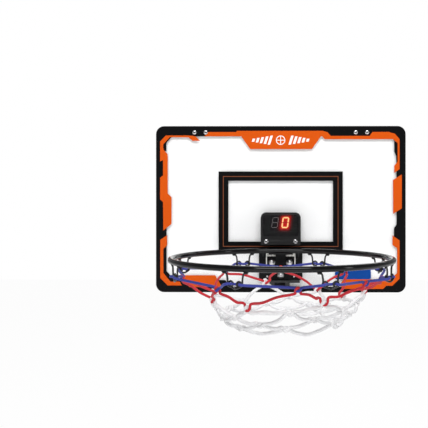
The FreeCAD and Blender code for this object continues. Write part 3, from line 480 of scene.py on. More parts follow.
def softened(node, material, width, segments=2):
    """A copy of a CAD node with its sharp edges rounded by a width in mm, so that they catch the light."""
    mesh = frame["nodes"][node].data.copy()
    work = bmesh.new()
    work.from_mesh(mesh)
    bmesh.ops.remove_doubles(work, verts=work.verts, dist=0.002 * MM)
    bmesh.ops.dissolve_limit(work, angle_limit=math.radians(1.0), verts=work.verts, edges=work.edges)
    work.to_mesh(mesh)
    work.free()
    source = new_piece(node + "_plain", mesh, material)
    bevel = source.modifiers.new("edges", "BEVEL")
    bevel.width = width * MM
    bevel.segments = segments
    bevel.limit_method = "ANGLE"
    bevel.angle_limit = math.radians(40)
    piece = new_piece(node + "_finish", evaluated_mesh(source), material)
    drop(source)
    smooth_by_angle(piece.data, 50.0)
    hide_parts(node)
    return piece


def lathe(name, outline, sides, material):
    """Turns an outline of (radius, distance) pairs in mm round the Y axis."""
    work = bmesh.new()
    rings = []
    for radius, along in outline:
        turns = [2 * math.pi * k / sides for k in range(sides if radius > 0 else 1)]
        spots = [(radius * math.cos(a) * MM, along * MM, radius * math.sin(a) * MM) for a in turns]
        rings.append([work.verts.new(spot) for spot in spots])
    for near, far in zip(rings, rings[1:]):
        for k in range(sides):
            m = (k + 1) % sides
            corners = [near[k % len(near)], near[m % len(near)], far[m % len(far)], far[k % len(far)]]
            unique = list(dict.fromkeys(corners))
            if len(unique) > 2:
                work.faces.new(unique)
    bmesh.ops.recalc_face_normals(work, faces=work.faces)
    return new_piece(name, mesh_of(work, name), material)


def curve_piece(name, dimensions, runs, closed):
    """A curve object with one run of points for each path."""
    curve = bpy.data.curves.new(name, "CURVE")
    curve.dimensions = dimensions
    for points in runs:
        spline = curve.splines.new("POLY")
        spline.points.add(len(points) - 1)
        for knot, point in zip(spline.points, points):
            knot.co = (*point, 1)
        spline.use_cyclic_u = closed
    return new_piece(name, curve)


def flat_piece(name, loops, front, thickness, material):
    """A thin flat piece facing the player. The first outline is its edge, the others are holes."""
    runs = [[(x, height, 0) for x, height in loop] for loop in loops]
    flat = curve_piece(name + "_flat", "2D", runs, True)
    flat.data.fill_mode = "BOTH"
    flat.data.extrude = thickness / 2 / MM
    mesh = evaluated_mesh(flat)
    drop(flat)
    turn = Matrix.Rotation(math.pi / 2, 4, "X") @ Matrix.Scale(MM, 4)
    shift = Matrix.Translation((0, front + thickness / 2, SHEET_LOW.z))
    mesh.transform(shift @ turn)
    return new_piece(name, mesh, material)


def arc(x, height, radius, start, end, steps=8):
    """Points along an arc, in mm, from one angle to another in degrees."""
    angles = [math.radians(start + (end - start) * k / steps) for k in range(steps + 1)]
    return [(x + radius * math.cos(a), height + radius * math.sin(a)) for a in angles]


def rounded(left, right, low, high, radius):
    """A rectangle with rounded corners, in mm."""
    corners = [
        (right - radius, high - radius, 0),
        (left + radius, high - radius, 90),
        (left + radius, low + radius, 180),
        (right - radius, low + radius, 270),
    ]
    return [point for x, z, a in corners for point in arc(x, z, radius, a, a + 90)]


# ---- geometry node trees ----
def geometry_tree(name, inputs):
    """A tree that takes and gives a geometry, with these inputs and a material."""
    inputs = {"Geometry": ("Geometry", None), **inputs, "Material": ("Material", None)}
    return node_group(name, "GeometryNodeTree", inputs, {"Geometry": "Geometry"})


def end_tree(tree, entry, leave, geometry):
    """Makes the instances real, sets the material and gives the result."""
    real = first(tree, "GeometryNodeRealizeInstances", {0: geometry})
    done = first(tree, "GeometryNodeSetMaterial", {0: real, "Material": entry["Material"]})
    feed(tree, leave, {0: done})
    return tree


def object_shape(tree, source):
    return add(tree, "GeometryNodeObjectInfo", {"Object": source}).outputs["Geometry"]


def captured(tree, geometry, kind, label, value):
    """Keeps a value on a curve while it changes, and gives the curve and the value."""
    node = add(tree, "GeometryNodeCaptureAttribute", {0: geometry})
    node.capture_items.new(kind, label)
    feed(tree, node, {1: value})
    return node.outputs


def swept_cord():
    """Sweeps a round section along a path and stores how the surface lies on it."""
    inputs = {
        "Path": ("Object", None),
        "Radius": ("Float", MM),
        "Sides": ("Int", SWEEP_SIDES),
        "Step": ("Float", SWEEP_STEP),
    }
    tree, entry, leave = geometry_tree("swept_cord", inputs)
    path = object_shape(tree, entry["Path"])
    path = first(tree, "GeometryNodeCurveSplineType", {0: path}, spline_type="CATMULL_ROM")
    path = first(tree, "GeometryNodeSetSplineResolution", {0: path, "Resolution": 12})
    path = first(tree, "GeometryNodeResampleCurve", {"Curve": path, "Length": entry["Step"]}, mode="LENGTH")
    length_so_far = add(tree, "GeometryNodeSplineParameter").outputs["Length"]
    run = captured(tree, path, "FLOAT", "Run", length_so_far)
    sizes = {"Resolution": entry["Sides"], "Radius": entry["Radius"]}
    circle = first(tree, "GeometryNodeCurvePrimitiveCircle", sizes)
    section = captured(tree, circle, "VECTOR", "Section", first(tree, "GeometryNodeInputPosition"))
    curves = {"Curve": run[0], "Profile Curve": section[0], "Fill Caps": True}
    tube = first(tree, "GeometryNodeCurveToMesh", curves)
    part = add(tree, "ShaderNodeSeparateXYZ", {0: section[1]}).outputs
    lay = {k: maths(tree, "DIVIDE", part[k], entry["Radius"]) for k in (0, 1)}
    lay[2] = maths(tree, "DIVIDE", run[1], MM)
    kinds = {"data_type": "FLOAT_VECTOR", "domain": "POINT"}
    stored = add(tree, "GeometryNodeStoreNamedAttribute", {"Geometry": tube, "Name": "lay"}, **kinds)
    value = next(socket for socket in stored.inputs if socket.name == "Value" and socket.enabled)
    tree.links.new(first(tree, "ShaderNodeCombineXYZ", lay), value)
    smooth = first(tree, "GeometryNodeSetShadeSmooth", {0: stored.outputs[0]})
    return end_tree(tree, entry, leave, smooth)


def ring_of_copies():
    """Copies a piece round an upright axis."""
    inputs = {
        "Piece": ("Object", None),
        "Count": ("Int", 8),
        "Start": ("Float", 0.0),
        "Centre": ("Vector", None),
    }
    tree, entry, leave = geometry_tree("ring_of_copies", inputs)
    points = first(tree, "GeometryNodePoints", {"Count": entry["Count"], "Position": entry["Centre"]})
    index = first(tree, "GeometryNodeInputIndex")
    turn = maths(tree, "DIVIDE", maths(tree, "MULTIPLY", index, 2 * math.pi), entry["Count"])
    rotation = first(tree, "ShaderNodeCombineXYZ", {2: maths(tree, "ADD", turn, entry["Start"])})
    piece = object_shape(tree, entry["Piece"])
    inputs = {"Points": points, "Instance": piece, "Rotation": rotation}
    return end_tree(tree, entry, leave, first(tree, "GeometryNodeInstanceOnPoints", inputs))


def copies_at_points():
    """Copies a piece to each point of a mesh of points, each turned by a twist more than the last."""
    inputs = {"Piece": ("Object", None), "Twist": ("Float", 0.0)}
    tree, entry, leave = geometry_tree("copies_at_points", inputs)
    twist = maths(tree, "MULTIPLY", first(tree, "GeometryNodeInputIndex"), entry["Twist"])
    rotation = first(tree, "ShaderNodeCombineXYZ", {1: twist})
    piece = object_shape(tree, entry["Piece"])
    inputs = {"Points": entry["Geometry"], "Instance": piece, "Rotation": rotation}
    return end_tree(tree, entry, leave, first(tree, "GeometryNodeInstanceOnPoints", inputs))


def grown(name, maker, inputs, points=()):
    """Runs a geometry node tree on a mesh of points and keeps the result as a plain piece."""
    mesh = bpy.data.meshes.new(name + "_points")
    mesh.from_pydata([tuple(point) for point in points], [], [])
    host = new_piece(name + "_host", mesh)
    tree = shared(maker)
    modifier = host.modifiers.new(tree.name, "NODES")
    modifier.node_group = tree
    for socket in tree.interface.items_tree:
        if socket.item_type == "SOCKET" and socket.in_out == "INPUT" and socket.name in inputs:
            modifier[socket.identifier] = inputs[socket.name]
    piece = new_piece(name, evaluated_mesh(host))
    drop(host)
    return piece


def copied(name, one, material, spots, twist=0.0):
    """Copies of a piece at each spot, in place of the piece itself."""
    inputs = {"Piece": one, "Twist": twist, "Material": material}
    piece = grown(name, copies_at_points, inputs, spots)
    drop(one)
    return piece


def swept(name, runs, radius, material, closed=False, sides=SWEEP_SIDES, step=SWEEP_STEP):
    """A round cord or wire along each run of points."""
    path = curve_piece(name + "_path", "3D", runs, closed)
    inputs = {"Path": path, "Radius": radius, "Sides": sides, "Step": step, "Material": material}
    piece = grown(name, swept_cord, inputs)
    drop(path)
    return piece


# ---- stage ----
FLOOR_HALF = 4.0
FLOOR_DROP = 0.42
FLOOR_WHITE = 0.96
# Each lamp's share of the key light's power, its width and height, and its place, in metres.
LAMPS = {
    "key": (1.0, (1.3, 0.42), (0.02, -1.2, 1.1)),
    "side": (0.06, (0.15, 0.6), (1.2, -0.7, 0.1)),
    "front": (0.25, (1.6, 0.25), (-0.1, -1.6, -0.42)),
    "back": (0.7, (1.2, 0.6), (0.3, 1.4, 0.9)),
}


class HOOP_OT_stage(bpy.types.Operator):
    """Floor, lamps, surroundings and camera"""

    bl_idname = "hoop.stage"
    bl_label = "Set the stage"

    def execute(self, context):
        looks = context.scene.hoop_stage
        self.floor()
        self.surroundings(context, looks.fill)
        for name, (share, size, spot) in LAMPS.items():
            self.lamp(name, looks.key * share, size, spot)
        self.camera(context, looks)
        context.scene.view_settings.view_transform = "Standard"
        return {"FINISHED"}

    def floor(self):
        level = SHEET_LOW.z - FLOOR_DROP
        ends = ((-1, -1), (1, -1), (1, 1), (-1, 1))
        corners = [(x * FLOOR_HALF, y * FLOOR_HALF, level) for x, y in ends]
        mesh = bpy.data.meshes.new("floor")
        mesh.from_pydata(corners, [], [(0, 1, 2, 3)])
        material, tree, shader, coordinates = base_material("floor", Roughness=0.9)
        pale = maths(tree, "MULTIPLY_ADD", noise(tree, coordinates, 3.0, 3.0), 0.02, 0.9)
        grey = first(tree, "ShaderNodeCombineColor", {0: pale, 1: pale, 2: pale})
        feed(tree, shader, {"Base Color": grey})
        white = first(tree, "ShaderNodeEmission", {"Color": (1, 1, 1, 1), "Strength": 1.0})
        share = maths(tree, "MULTIPLY", self.shown(tree), FLOOR_WHITE)
        mixed = first(tree, "ShaderNodeMixShader", {0: share, 1: shader.outputs[0], 2: white})
        output = next(node for node in tree.nodes if node.type == "OUTPUT_MATERIAL")
        feed(tree, output, {"Surface": mixed})
        new_piece("floor", mesh, material)

    def surroundings(self, context, fill):
        """White all round, at half strength in reflections."""
        world = bpy.data.worlds.new("surroundings")
        context.scene.world = world
        world.use_nodes = True
        tree = world.node_tree
        shader = next(node for node in tree.nodes if node.type == "BACKGROUND")
        mirrored = add(tree, "ShaderNodeLightPath").outputs["Is Glossy Ray"]
        soft = maths(tree, "MULTIPLY_ADD", mirrored, -0.5 * fill, fill)
        strength = maths(tree, "MAXIMUM", self.shown(tree), soft)
        feed(tree, shader, {"Color": (1, 1, 1, 1), "Strength": strength})

    def shown(self, tree):
        """1 for rays that see the background itself: from the camera or through clear plastic."""
        rays = add(tree, "ShaderNodeLightPath").outputs
        return maths(tree, "MAXIMUM", rays["Is Camera Ray"], rays["Is Transmission Ray"])

    def lamp(self, name, power, size, spot):
        """A flat lamp that faces the board."""
        lamp = bpy.data.lights.new(name, "AREA")
        lamp.shape = "RECTANGLE"
        lamp.energy = power
        lamp.size, lamp.size_y = size
        holder = new_piece(name, lamp)
        holder.location = spot
        aim = (SHEET_LOW + SHEET_HIGH) / 2 - Vector(spot)
        holder.rotation_euler = aim.to_track_quat("-Z", "Y").to_euler()

    def camera(self, context, looks):
        lens = bpy.data.cameras.new("camera")
        lens.lens = looks.lens
        lens.sensor_width = 36
        lens.shift_x = -0.115
        lens.shift_y = -0.0654
        lens.clip_start = 0.05
        eye = new_piece("camera", lens)
        eye.location = (-8 * MM, SHEET_LOW.y - looks.distance, SHEET_LOW.z + 127.8 * MM)
        eye.rotation_euler = (math.pi / 2, 0, math.radians(0.71))
        context.scene.camera = eye


# ---- board and print ----
class HOOP_OT_board(bpy.types.Operator):
    """Clear sheet, white liner and the foam blocks behind them"""

    bl_idname = "hoop.board"
    bl_label = "Finish the board"

    def execute(self, context):
        sheet = softened("backboard", coated("clear_sheet", Alpha=0.03), 0.3)
        for corner in sheet.data.vertices:
            if corner.co.y > SHEET_HIGH.y - 0.01 * MM:
                corner.co.y -= SHEET_GAP
        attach(sheet, "frame")
        give(coated("liner"), "board_liner")
        foam = coated("foam")
        for node in ("top_bumper_left", "top_bumper_right", "low_bumper_left", "low_bumper_right"):
            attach(softened(node, foam, 1.2, 3), "frame")
        give(foam, "hook_pad_left", "hook_pad_right")
        return {"FINISHED"}


class HOOP_OT_print(bpy.types.Operator):
    """The printed border, banner, shooting square and name plate"""

    bl_idname = "hoop.print"
    bl_label = "Print the board"

    def execute(self, context):
        looks = context.scene.hoop_print
        self.layer = looks.layer
        self.black = coated("print_black", looks.black, "ink")
        self.orange = coated("print_orange", looks.orange, "ink")
        self.white = coated("print_white", looks.white, "ink")
        self.line = coated("print_line", looks.line, "ink")
        self.border()
        self.left_stripes()
        self.right_stripes()
        self.banner()
        self.square()
        plate = coated("name_plate", looks.plate, "ink")
        self.piece("name_plate", [rounded(65.2, 108.1, 16.0, 28.3, 2.0)], 2, plate)
        return {"FINISHED"}

    def piece(self, name, loops, level, material, slot=None):
        """One printed area. A higher level lies over a lower one."""
        front = SHEET_LOW.y - self.layer * level
        area = flat_piece(name, loops, front, self.layer * LAYER_SHARE, material)
        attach(area, "frame")

    def border(self):
        edge = 0.3
        half = BOARD_W / MM / 2 - edge
        tall = BOARD_H / MM - edge
        inner = [
            (-133.0, 187.4), (-86.0, 187.4), (134.0, 187.4), (140.0, 180.0), (138.6, 164.0),
            (138.6, 100.0), (138.8, 95.1), (138.8, 81.6), (135.7, 77.3), (135.7, 66.0), (141.0, 60.0),
            (141.0, 18.0), (134.0, 11.0), (125.0, 6.9), (-60.5, 6.9), (-66.5, 15.0), (-76.0, 15.0),
            (-80.0, 18.0), (-117.0, 18.0), (-119.5, 16.4), (-128.6, 16.4), (-137.0, 25.5), (-137.0, 78.0),
            (-133.6, 82.0), (-134.0, 114.0), (-138.4, 118.0), (-138.4, 181.0),
        ]
        self.piece("print_border", [rounded(-half, half, edge, tall, 9.7), inner], 1, self.black)

    def left_stripes(self):
        upper = [
            (-137.9, 188.5), (-109.8, 188.5), (-105.0, 188.0), (-102.0, 187.2), (-96.6, 182.0),
            (-105.7, 182.0), (-110.6, 186.2), (-131.0, 186.4), (-139.6, 178.6), (-140.8, 171.7),
            (-135.6, 165.9), (-135.6, 118.8), (-131.0, 114.2), (-131.1, 82.2), (-140.9, 74.3),
            (-141.3, 108.5), (-144.8, 111.9), (-144.8, 137.8), (-141.3, 140.7), (-141.3, 159.0),
            (-144.8, 157.3), (-144.8, 181.4),
        ]
        accent = [
            (-131.1, 186.6), (-137.3, 179.4), (-137.3, 168.9), (-141.0, 173.0), (-141.2, 177.6),
            (-132.9, 186.6),
        ]
        corner = [
            (-136.3, 68.8), (-144.6, 63.2), (-144.6, 17.3), (-135.8, 8.4), (-118.6, 8.4), (-121.3, 13.0),
            (-132.4, 13.0), (-140.9, 23.4), (-140.9, 52.2), (-136.3, 56.5),
        ]
        foot = [(-118.6, 20.6), (-78.5, 20.6), (-70.5, 6.9), (-109.7, 6.3), (-114.6, 14.3)]
        self.piece("print_left_upper", [upper], 2, self.orange)
        self.piece("print_left_accent", [accent], 3, self.black)
        self.piece("print_left_corner", [corner], 2, self.orange)
        self.piece("print_left_foot", [foot], 2, self.orange)

    def right_stripes(self):
        accent = [
            (134.4, 183.6), (139.9, 179.4), (140.1, 156.9), (138.5, 156.5), (138.3, 163.8),
            (136.0, 168.9), (136.0, 181.3),
        ]
        block = [(145.1, 141.7), (134.6, 135.1), (134.7, 94.5), (145.1, 101.0)]
        corner = [
            (133.9, 68.8), (142.4, 62.6), (142.4, 16.7), (133.9, 8.4), (126.5, 8.4), (122.8, 4.5),
            (75.1, 4.5), (70.8, 9.4), (75.5, 16.0), (130.5, 16.0), (135.1, 19.8), (139.4, 23.4),
            (139.4, 53.4), (133.9, 57.1),
        ]
        self.piece("print_right_accent", [accent], 3, self.black)
        self.piece("print_right_block", [block], 2, self.orange)
        self.piece("print_right_corner", [corner], 2, self.orange)

    def banner(self):
        field = [
            (-91.4, 187.4), (-47.4, 187.4), (-36.5, 172.1), (37.5, 172.1), (48.8, 188.0), (53.0, 183.9),
            (134.6, 183.9), (140.1, 179.2), (140.1, 157.0), (136.0, 152.0), (136.0, 143.4),
            (142.4, 148.0), (142.4, 184.0), (136.6, 190.6), (129.3, 192.6), (110.0, 192.6),
            (106.6, 187.9), (60.1, 187.9), (56.0, 192.4), (50.0, 194.0), (-52.6, 194.0), (-53.2, 192.6),
            (-87.6, 192.6),
        ]
        self.piece("print_banner", [field], 2, self.orange)
        middle = 182.8
        mark_r = 5.6
        ring_w = 1.0
        mark = [arc(0, middle, mark_r, 0, 360, 40)[:-1]]
        for side in (-1, 1):
            for tilt in (-1, 1):
                mark.append(self.ball_field(side, tilt, middle, mark_r - ring_w))
        self.piece("banner_ball", mark, 3, self.white)
        width = 3.0
        tall = 5.4
        lean = 3.4
        for side, name in ((-1, "left"), (1, "right")):
            for k in range(5):
                left = side * (12.5 + 5.0 * k) - width / 2
                right = left + width
                low = middle - tall + 0.9 * k
                high = middle + tall - 0.9 * k
                tip = lean * (high - low) / (2 * tall) / 2
                bar = [(left - tip, low), (right - tip, low), (right + tip, high), (left + tip, high)]
                self.piece(f"banner_bar_{name}_{k + 1}", [bar], 3, self.white)

    def ball_field(self, side, tilt, middle, reach, gap=0.45):
        """A quarter of the plain ball mark, between its upright and level seams."""
        start = math.degrees(math.asin(gap / reach))
        points = arc(0, 0, reach, start, 90 - start, 10) + [(gap, gap)]
        return [(side * x, middle + tilt * z) for x, z in points]

    def square(self):
        def frame_of(half, low, high):
            return [(-half, low), (half, low), (half, high), (-half, high)]

        band = [frame_of(74.5, 49.5, 145.2), frame_of(62.7, 61.1, 134.0)]
        line = [frame_of(69.2, 55.0, 139.6), frame_of(68.5, 55.7, 138.9)]
        self.piece("print_square", band, 1, self.black)
        self.piece("print_square_line", line, 2, self.line, "print_orange")


# ---- screws, bolts and nuts ----
PLATE_T = 2.0 * MM
# Screws and bolts, in mm.
HEAD_R = 2.8
SHANK_R = 1.5
ROOT_R = 1.32
THREAD_STEP = 0.5
BOLT_HEAD_R = 4.15
BOLT_R = 2.0


def plate_face():
    """The front of the bracket plate, where its bolts and pegs sit."""
    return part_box("rim_plate")[1].y - PLATE_T


class HOOP_OT_fasteners(bpy.types.Operator):
    """Cross-recess screws, dome bolts, nuts and the door hooks"""

    bl_idname = "hoop.fasteners"
    bl_label = "Fit the fasteners"

    def execute(self, context):
        looks = context.scene.hoop_metal
        bright = metal("bright_plate", looks.bright)
        dome = metal("bolt_plate", looks.bright)
        zinc = metal("zinc_plate")
        low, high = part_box("hook_screws")
        hook_low, hook_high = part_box("hook_right")
        centre = (hook_low.x + hook_high.x) / 2
        spread = high.x - HEAD_R * MM - centre
        sides = (-centre - spread, -centre + spread, centre - spread, centre + spread)
        spots = [(x, SHEET_LOW.y, (low.z + high.z) / 2) for x in sides]
        self.screws("hook_screws", spots, bright, high.y - SHEET_LOW.y)
        low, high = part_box("score_screws")
        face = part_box("score_housing")[0].y
        spots = [(side * (high.x - HEAD_R * MM), face, (low.z + high.z) / 2) for side in (-1, 1)]
        self.screws("score_screws", spots, bright, high.y - face)
        self.bolts(dome)
        give(coated("pin_coat"), "pin_clip", "hinge_pin")
        give(zinc, "hook_nuts", "plate_nuts", "rim_backplate")
        paint = coated("hook_paint")
        for node in ("hook_left", "hook_right"):
            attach(softened(node, paint, 0.35), "frame")
        return {"FINISHED"}

    def bolts(self, material):
        """Dome-head bolts in the bracket plate."""
        low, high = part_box("plate_bolts")
        face = plate_face()
        tall = (face - low.y) / MM
        ball = (BOLT_HEAD_R**2 + tall**2) / (2 * tall)
        steps = 12
        outline = [(0, -tall)]
        for k in range(1, steps + 1):
            a = math.asin(BOLT_HEAD_R / ball) * k / steps
            outline.append((ball * math.sin(a), ball - tall - ball * math.cos(a)))
        tip = (high.y - face) / MM
        outline += [(BOLT_R, 0), (BOLT_R, tip - 0.4), (BOLT_R - 0.4, tip), (0, tip)]
        one = lathe("bolt_one", outline, 48, material)
        smooth_by_angle(one.data, 40)
        wide = BOLT_HEAD_R * MM
        across = high.x - wide
        upper = high.z - wide
        spots = [(-across, face, upper), (across, face, upper), (0, face, low.z + wide)]
        piece = copied("plate_bolts_finish", one, material, spots)
        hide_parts("plate_bolts")
        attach(piece, "frame")

    def mark_hollow(self, mesh):
        """Marks the corners of the faces inside the recess, where little light gets in."""
        mark = mesh.attributes.new("painted_recess_shade", "FLOAT", "CORNER")
        for face in mesh.polygons:
            middle = face.center
            reach = math.hypot(middle.x, middle.z)
            inside = reach < 1.9 * MM and -1.75 * MM < middle.y < -0.3 * MM and face.area < 3 * MM**2
            level = face.normal.y > -0.8 or middle.y > -1.2 * MM
            for corner in face.loop_indices:
                mark.data[corner].value = 1.0 if inside and level else 0.0

    def blade(self, flip, wide=1.8, narrow=0.5):
        """One arm of the cross that is cut into a screw's head, tapered towards its tip."""
        work = bmesh.new()
        corners = []
        for y, w, n in ((-2.3, wide, narrow), (-0.6, wide * 0.35, narrow * 0.7)):
            for sx, sz in ((-1, -1), (1, -1), (1, 1), (-1, 1)):
                x, z = (sx * w, sz * n) if flip else (sx * n, sz * w)
                corners.append(work.verts.new((x * MM, y * MM, z * MM)))
        walls = [(k, k + 4, (k + 1) % 4 + 4, (k + 1) % 4) for k in range(4)]
        for quad in [(0, 1, 2, 3), (7, 6, 5, 4)] + walls:
            work.faces.new([corners[k] for k in quad])
        bmesh.ops.recalc_face_normals(work, faces=work.faces)
        return new_piece("blade", mesh_of(work, "blade"))

    def screws(self, node, spots, material, tip):
        """A pan head with a cross recess and a threaded shank, copied to each place."""
        outline = [(0, -1.9), (1.3, -1.85), (2.1, -1.6), (2.6, -1.1), (HEAD_R, -0.5)]
        outline += [(HEAD_R, 0), (SHANK_R, 0)]
        for k in range(int(tip / MM / THREAD_STEP)):
            outline.append((SHANK_R if k % 2 else ROOT_R, (k + 0.5) * THREAD_STEP))
        outline += [(1.3, tip / MM), (0, tip / MM)]
        head = lathe(node + "_one", outline, 28, material)
        cutters = [self.blade(flip) for flip in (False, True)]
        for cutter in cutters:
            cut = head.modifiers.new("recess", "BOOLEAN")
            cut.operation = "DIFFERENCE"
            cut.object = cutter
        one = new_piece(node + "_cut", evaluated_mesh(head), material)
        smooth_by_angle(one.data)
        self.mark_hollow(one.data)
        drop(head, *cutters)
        piece = copied(node + "_finish", one, material, spots, twist=0.7)
        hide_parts(node)
        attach(piece, "frame")


# ---- rim bracket, springs, ring, hooks ----
ARM_PALER = 1.4
COIL_STEPS = 12


class HOOP_OT_bracket(bpy.types.Operator):
    """Bracket plate, arm, gasket and the two torsion springs"""

    bl_idname = "hoop.bracket"
    bl_label = "Finish the bracket"

    def execute(self, context):
        looks = context.scene.hoop_metal
        paint = coated("bracket_paint", looks.bracket)
        arm_paint = coated("arm_paint", [tone * ARM_PALER for tone in looks.bracket])
        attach(softened("rim_plate", paint, 0.25), "frame")
        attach(softened("rim_arm", arm_paint, 0.25), "rim")
        give(coated("gasket_rubber"), "plate_gasket")
        self.pegs()
        wire = metal("spring_wire")
        for name, side in (("left", -1), ("right", 1)):
            self.spring(name, side, looks, wire)
        return {"FINISHED"}

    def pegs(self):
        """Pale locating pegs that fill the two small holes of the plate."""
        pale = coated("peg_plastic")
        outline = [(0, -0.25), (0.6, -0.2), (1.0, 0.05), (1.15, 0.4), (1.15, 1.9), (0, 1.9)]
        one = lathe("peg_one", outline, 24, pale)
        smooth_by_angle(one.data, 40)
        pegs = copied("plate_pegs", one, pale, [place(side * 16, 19.6, plate_face()) for side in (-1, 1)])
        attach(pegs, "frame")

    def spring(self, name, side, looks, wire):
        """A coil on the pin. Its outer leg stays on the plate and its inner one lifts the arm."""
        low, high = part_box(f"spring_{name}")
        outer = max(abs(low.x), abs(high.x)) - looks.spring_wire
        inner = min(abs(low.x), abs(high.x)) + looks.spring_wire
        radius = (high.z - PIN.z) - looks.spring_wire - 0.02 * MM
        foot = (high.y - looks.spring_wire - PIN.y, low.z + 0.3 * MM - PIN.z)
        tip = (low.y + 0.1 * MM - PIN.y, 0.65 * MM)
        start = self.touch(*foot, radius, -1)
        end = self.touch(*tip, radius, 1) - 2 * math.pi * looks.spring_turns

        def on_coil(x, angle):
            return Vector((x, radius * math.cos(angle), radius * math.sin(angle)))

        points = [Vector((outer, *foot))]
        points.append(points[0].lerp(on_coil(outer, start), 0.5))
        steps = looks.spring_turns * COIL_STEPS
        for k in range(steps + 1):
            points.append(on_coil(outer + (inner - outer) * k / steps, start + (end - start) * k / steps))
        last = Vector((inner, *tip))
        points += [points[-1].lerp(last, 0.5), last]
        run = [Vector((side * point.x, PIN.y + point.y, PIN.z + point.z)) for point in points]
        piece = swept(f"spring_{name}_wire", [run], looks.spring_wire, wire, step=0.5 * MM)
        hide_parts(f"spring_{name}")
        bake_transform(piece)

    def touch(self, y, z, radius, turn):
        """The angle round the pin where a straight leg from (y, z) just touches the coil."""
        return math.atan2(z, y) + turn * math.acos(radius / math.hypot(y, z))


class HOOP_OT_rim(bpy.types.Operator):
    """Ring, net hooks and their welds"""

    bl_idname = "hoop.rim"
    bl_label = "Finish the rim"

    def execute(self, context):
        looks = context.scene.hoop_net
        gloss = coated("rim_gloss", context.scene.hoop_metal.rim)
        give(gloss, "rim_ring")
        satin = coated("hook_wire")
        one = swept("net_hook_one", [self.wire(looks)], looks.wire_radius, satin, sides=8, step=0.6 * MM)
        hooks = self.ringed("net_hooks", one, satin)
        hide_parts(*[f"net_hook_{k + 1}" for k in range(HOOK_COUNT)])
        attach(hooks, "rim")
        welds = self.ringed("hook_welds", new_piece("weld_one", self.welds(), gloss), gloss)
        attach(welds, "rim")
        return {"FINISHED"}

    def ringed(self, name, one, material):
        """One copy of a piece for each hook round the rim, in place of the piece itself."""
        inputs = {
            "Piece": one,
            "Count": HOOK_COUNT,
            "Start": math.pi / HOOK_COUNT,
            "Centre": tuple(RIM_CENTRE),
            "Material": material,
        }
        piece = grown(name, ring_of_copies, inputs)
        drop(one)
        return piece

    def wire(self, looks):
        """One hook from foot to foot: two curls for the cord, and a U between them."""
        under = -TUBE_R / MM - looks.wire_radius / MM
        curl_r = 2.5
        curl_along = 4.9
        curl_z = -14.2
        half = [(12.8, 0, under), (10.6, 0, under), (9.0, 0, under - 0.5), (8.2, 0, under - 2.2)]
        half.append((7.6, 0, -9.5))
        turns = 12
        for k in range(turns + 3):
            a = 2 * math.pi * k / turns
            lift = 0.1 + 1.9 * k / turns
            half.append((curl_along + curl_r * math.cos(a), lift, curl_z - curl_r * math.sin(a)))
        half.append((1.6, 1.2, -18.2))
        points = half + [(0, 0, -18.6)] + [(-s, -o, z) for s, o, z in reversed(half)]
        return [self.on_tube(s, o, z) for s, o, z in points]

    def on_tube(self, along, outward, height):
        """A point of the hook at the rim's front, measured from the rim's centre."""
        a = along * MM / RIM_R
        radius = RIM_R + outward * MM
        return Vector((radius * math.sin(a), -radius * math.cos(a), height * MM))

    def welds(self):
        """Small beads of weld, one on each side of a wire, that join a hook's feet to the tube."""
        work = bmesh.new()
        scale = Matrix.Diagonal((1.5, 0.9, 0.8, 1))
        for along in (-12.4, -10.0, 10.0, 12.4):
            turn = Matrix.Rotation(along * MM / RIM_R, 4, "Z")
            for outward in (-0.75, 0.75):
                spot = Matrix.Translation(self.on_tube(along, outward, -TUBE_R / MM - 0.05))
                bmesh.ops.create_icosphere(work, subdivisions=2, radius=0.85 * MM, matrix=spot @ turn @ scale)
        mesh = mesh_of(work, "welds")
        smooth_by_angle(mesh, 80)
        return mesh


# ---- net ----
# How a cord turns at a knot, in mm: along the row, outwards and up.
HANGING = [(-4.8, -0.5, 1.5), (-2.6, -1.0, 0.3), (-1.4, 0.4, -1.3), (0, 1.1, -1.9)]
HANGING += [(1.4, 1.2, -1.3), (2.6, 1.1, 0.3), (4.8, 0.5, 1.5)]
CURLED = [(-7.0, -0.4, 5.2), (-3.7, -1.2, 4.2), (-3.1, -1.3, 1.2), (-1.9, 0.2, -1.2), (0, 1.2, -2.1)]
CURLED += [(1.9, 1.4, -1.3), (3.1, 1.4, 1.1), (3.7, 1.2, 4.2), (7.0, 0.4, 5.2)]
REACHING = [(-3.4, -1.0, -4.4), (-2.3, -0.9, -2.2), (-1.7, 1.0, 0.1), (0, 1.0, 1.7)]
REACHING += [(1.7, -0.9, 0.2), (2.4, -1.4, -1.9), (3.4, -1.0, -4.4)]
# At the back the loop passes outside the knot of the row above.
OUTSIDE = [(along, outward + 2.4, height) for along, outward, height in REACHING]
OUTSIDE_FACING = -0.3
GATHERED = [(-4.6, -0.8, -1.5), (-2.6, -0.9, -0.7), (-1.5, 0.8, 0.5), (0, 1.0, 1.4)]
GATHERED += [(1.5, -0.8, 0.5), (2.6, -1.2, -0.7), (4.6, -0.8, -1.5)]
LOOSE = [(-4.0, -0.3, 0.4), (0, 0.3, 0), (4.0, 0.3, 0.4)]
CURL_FACING = 0.6
# Through both curls of a hook, from the middle of the rim's tube.
THROUGH_HOOK = [(-10, 1.8, -14.8), (-4.9, 0.2, -14.0), (0, -2.6, -14.6), (4.9, 0.2, -14.0), (10, 1.8, -14.8)]


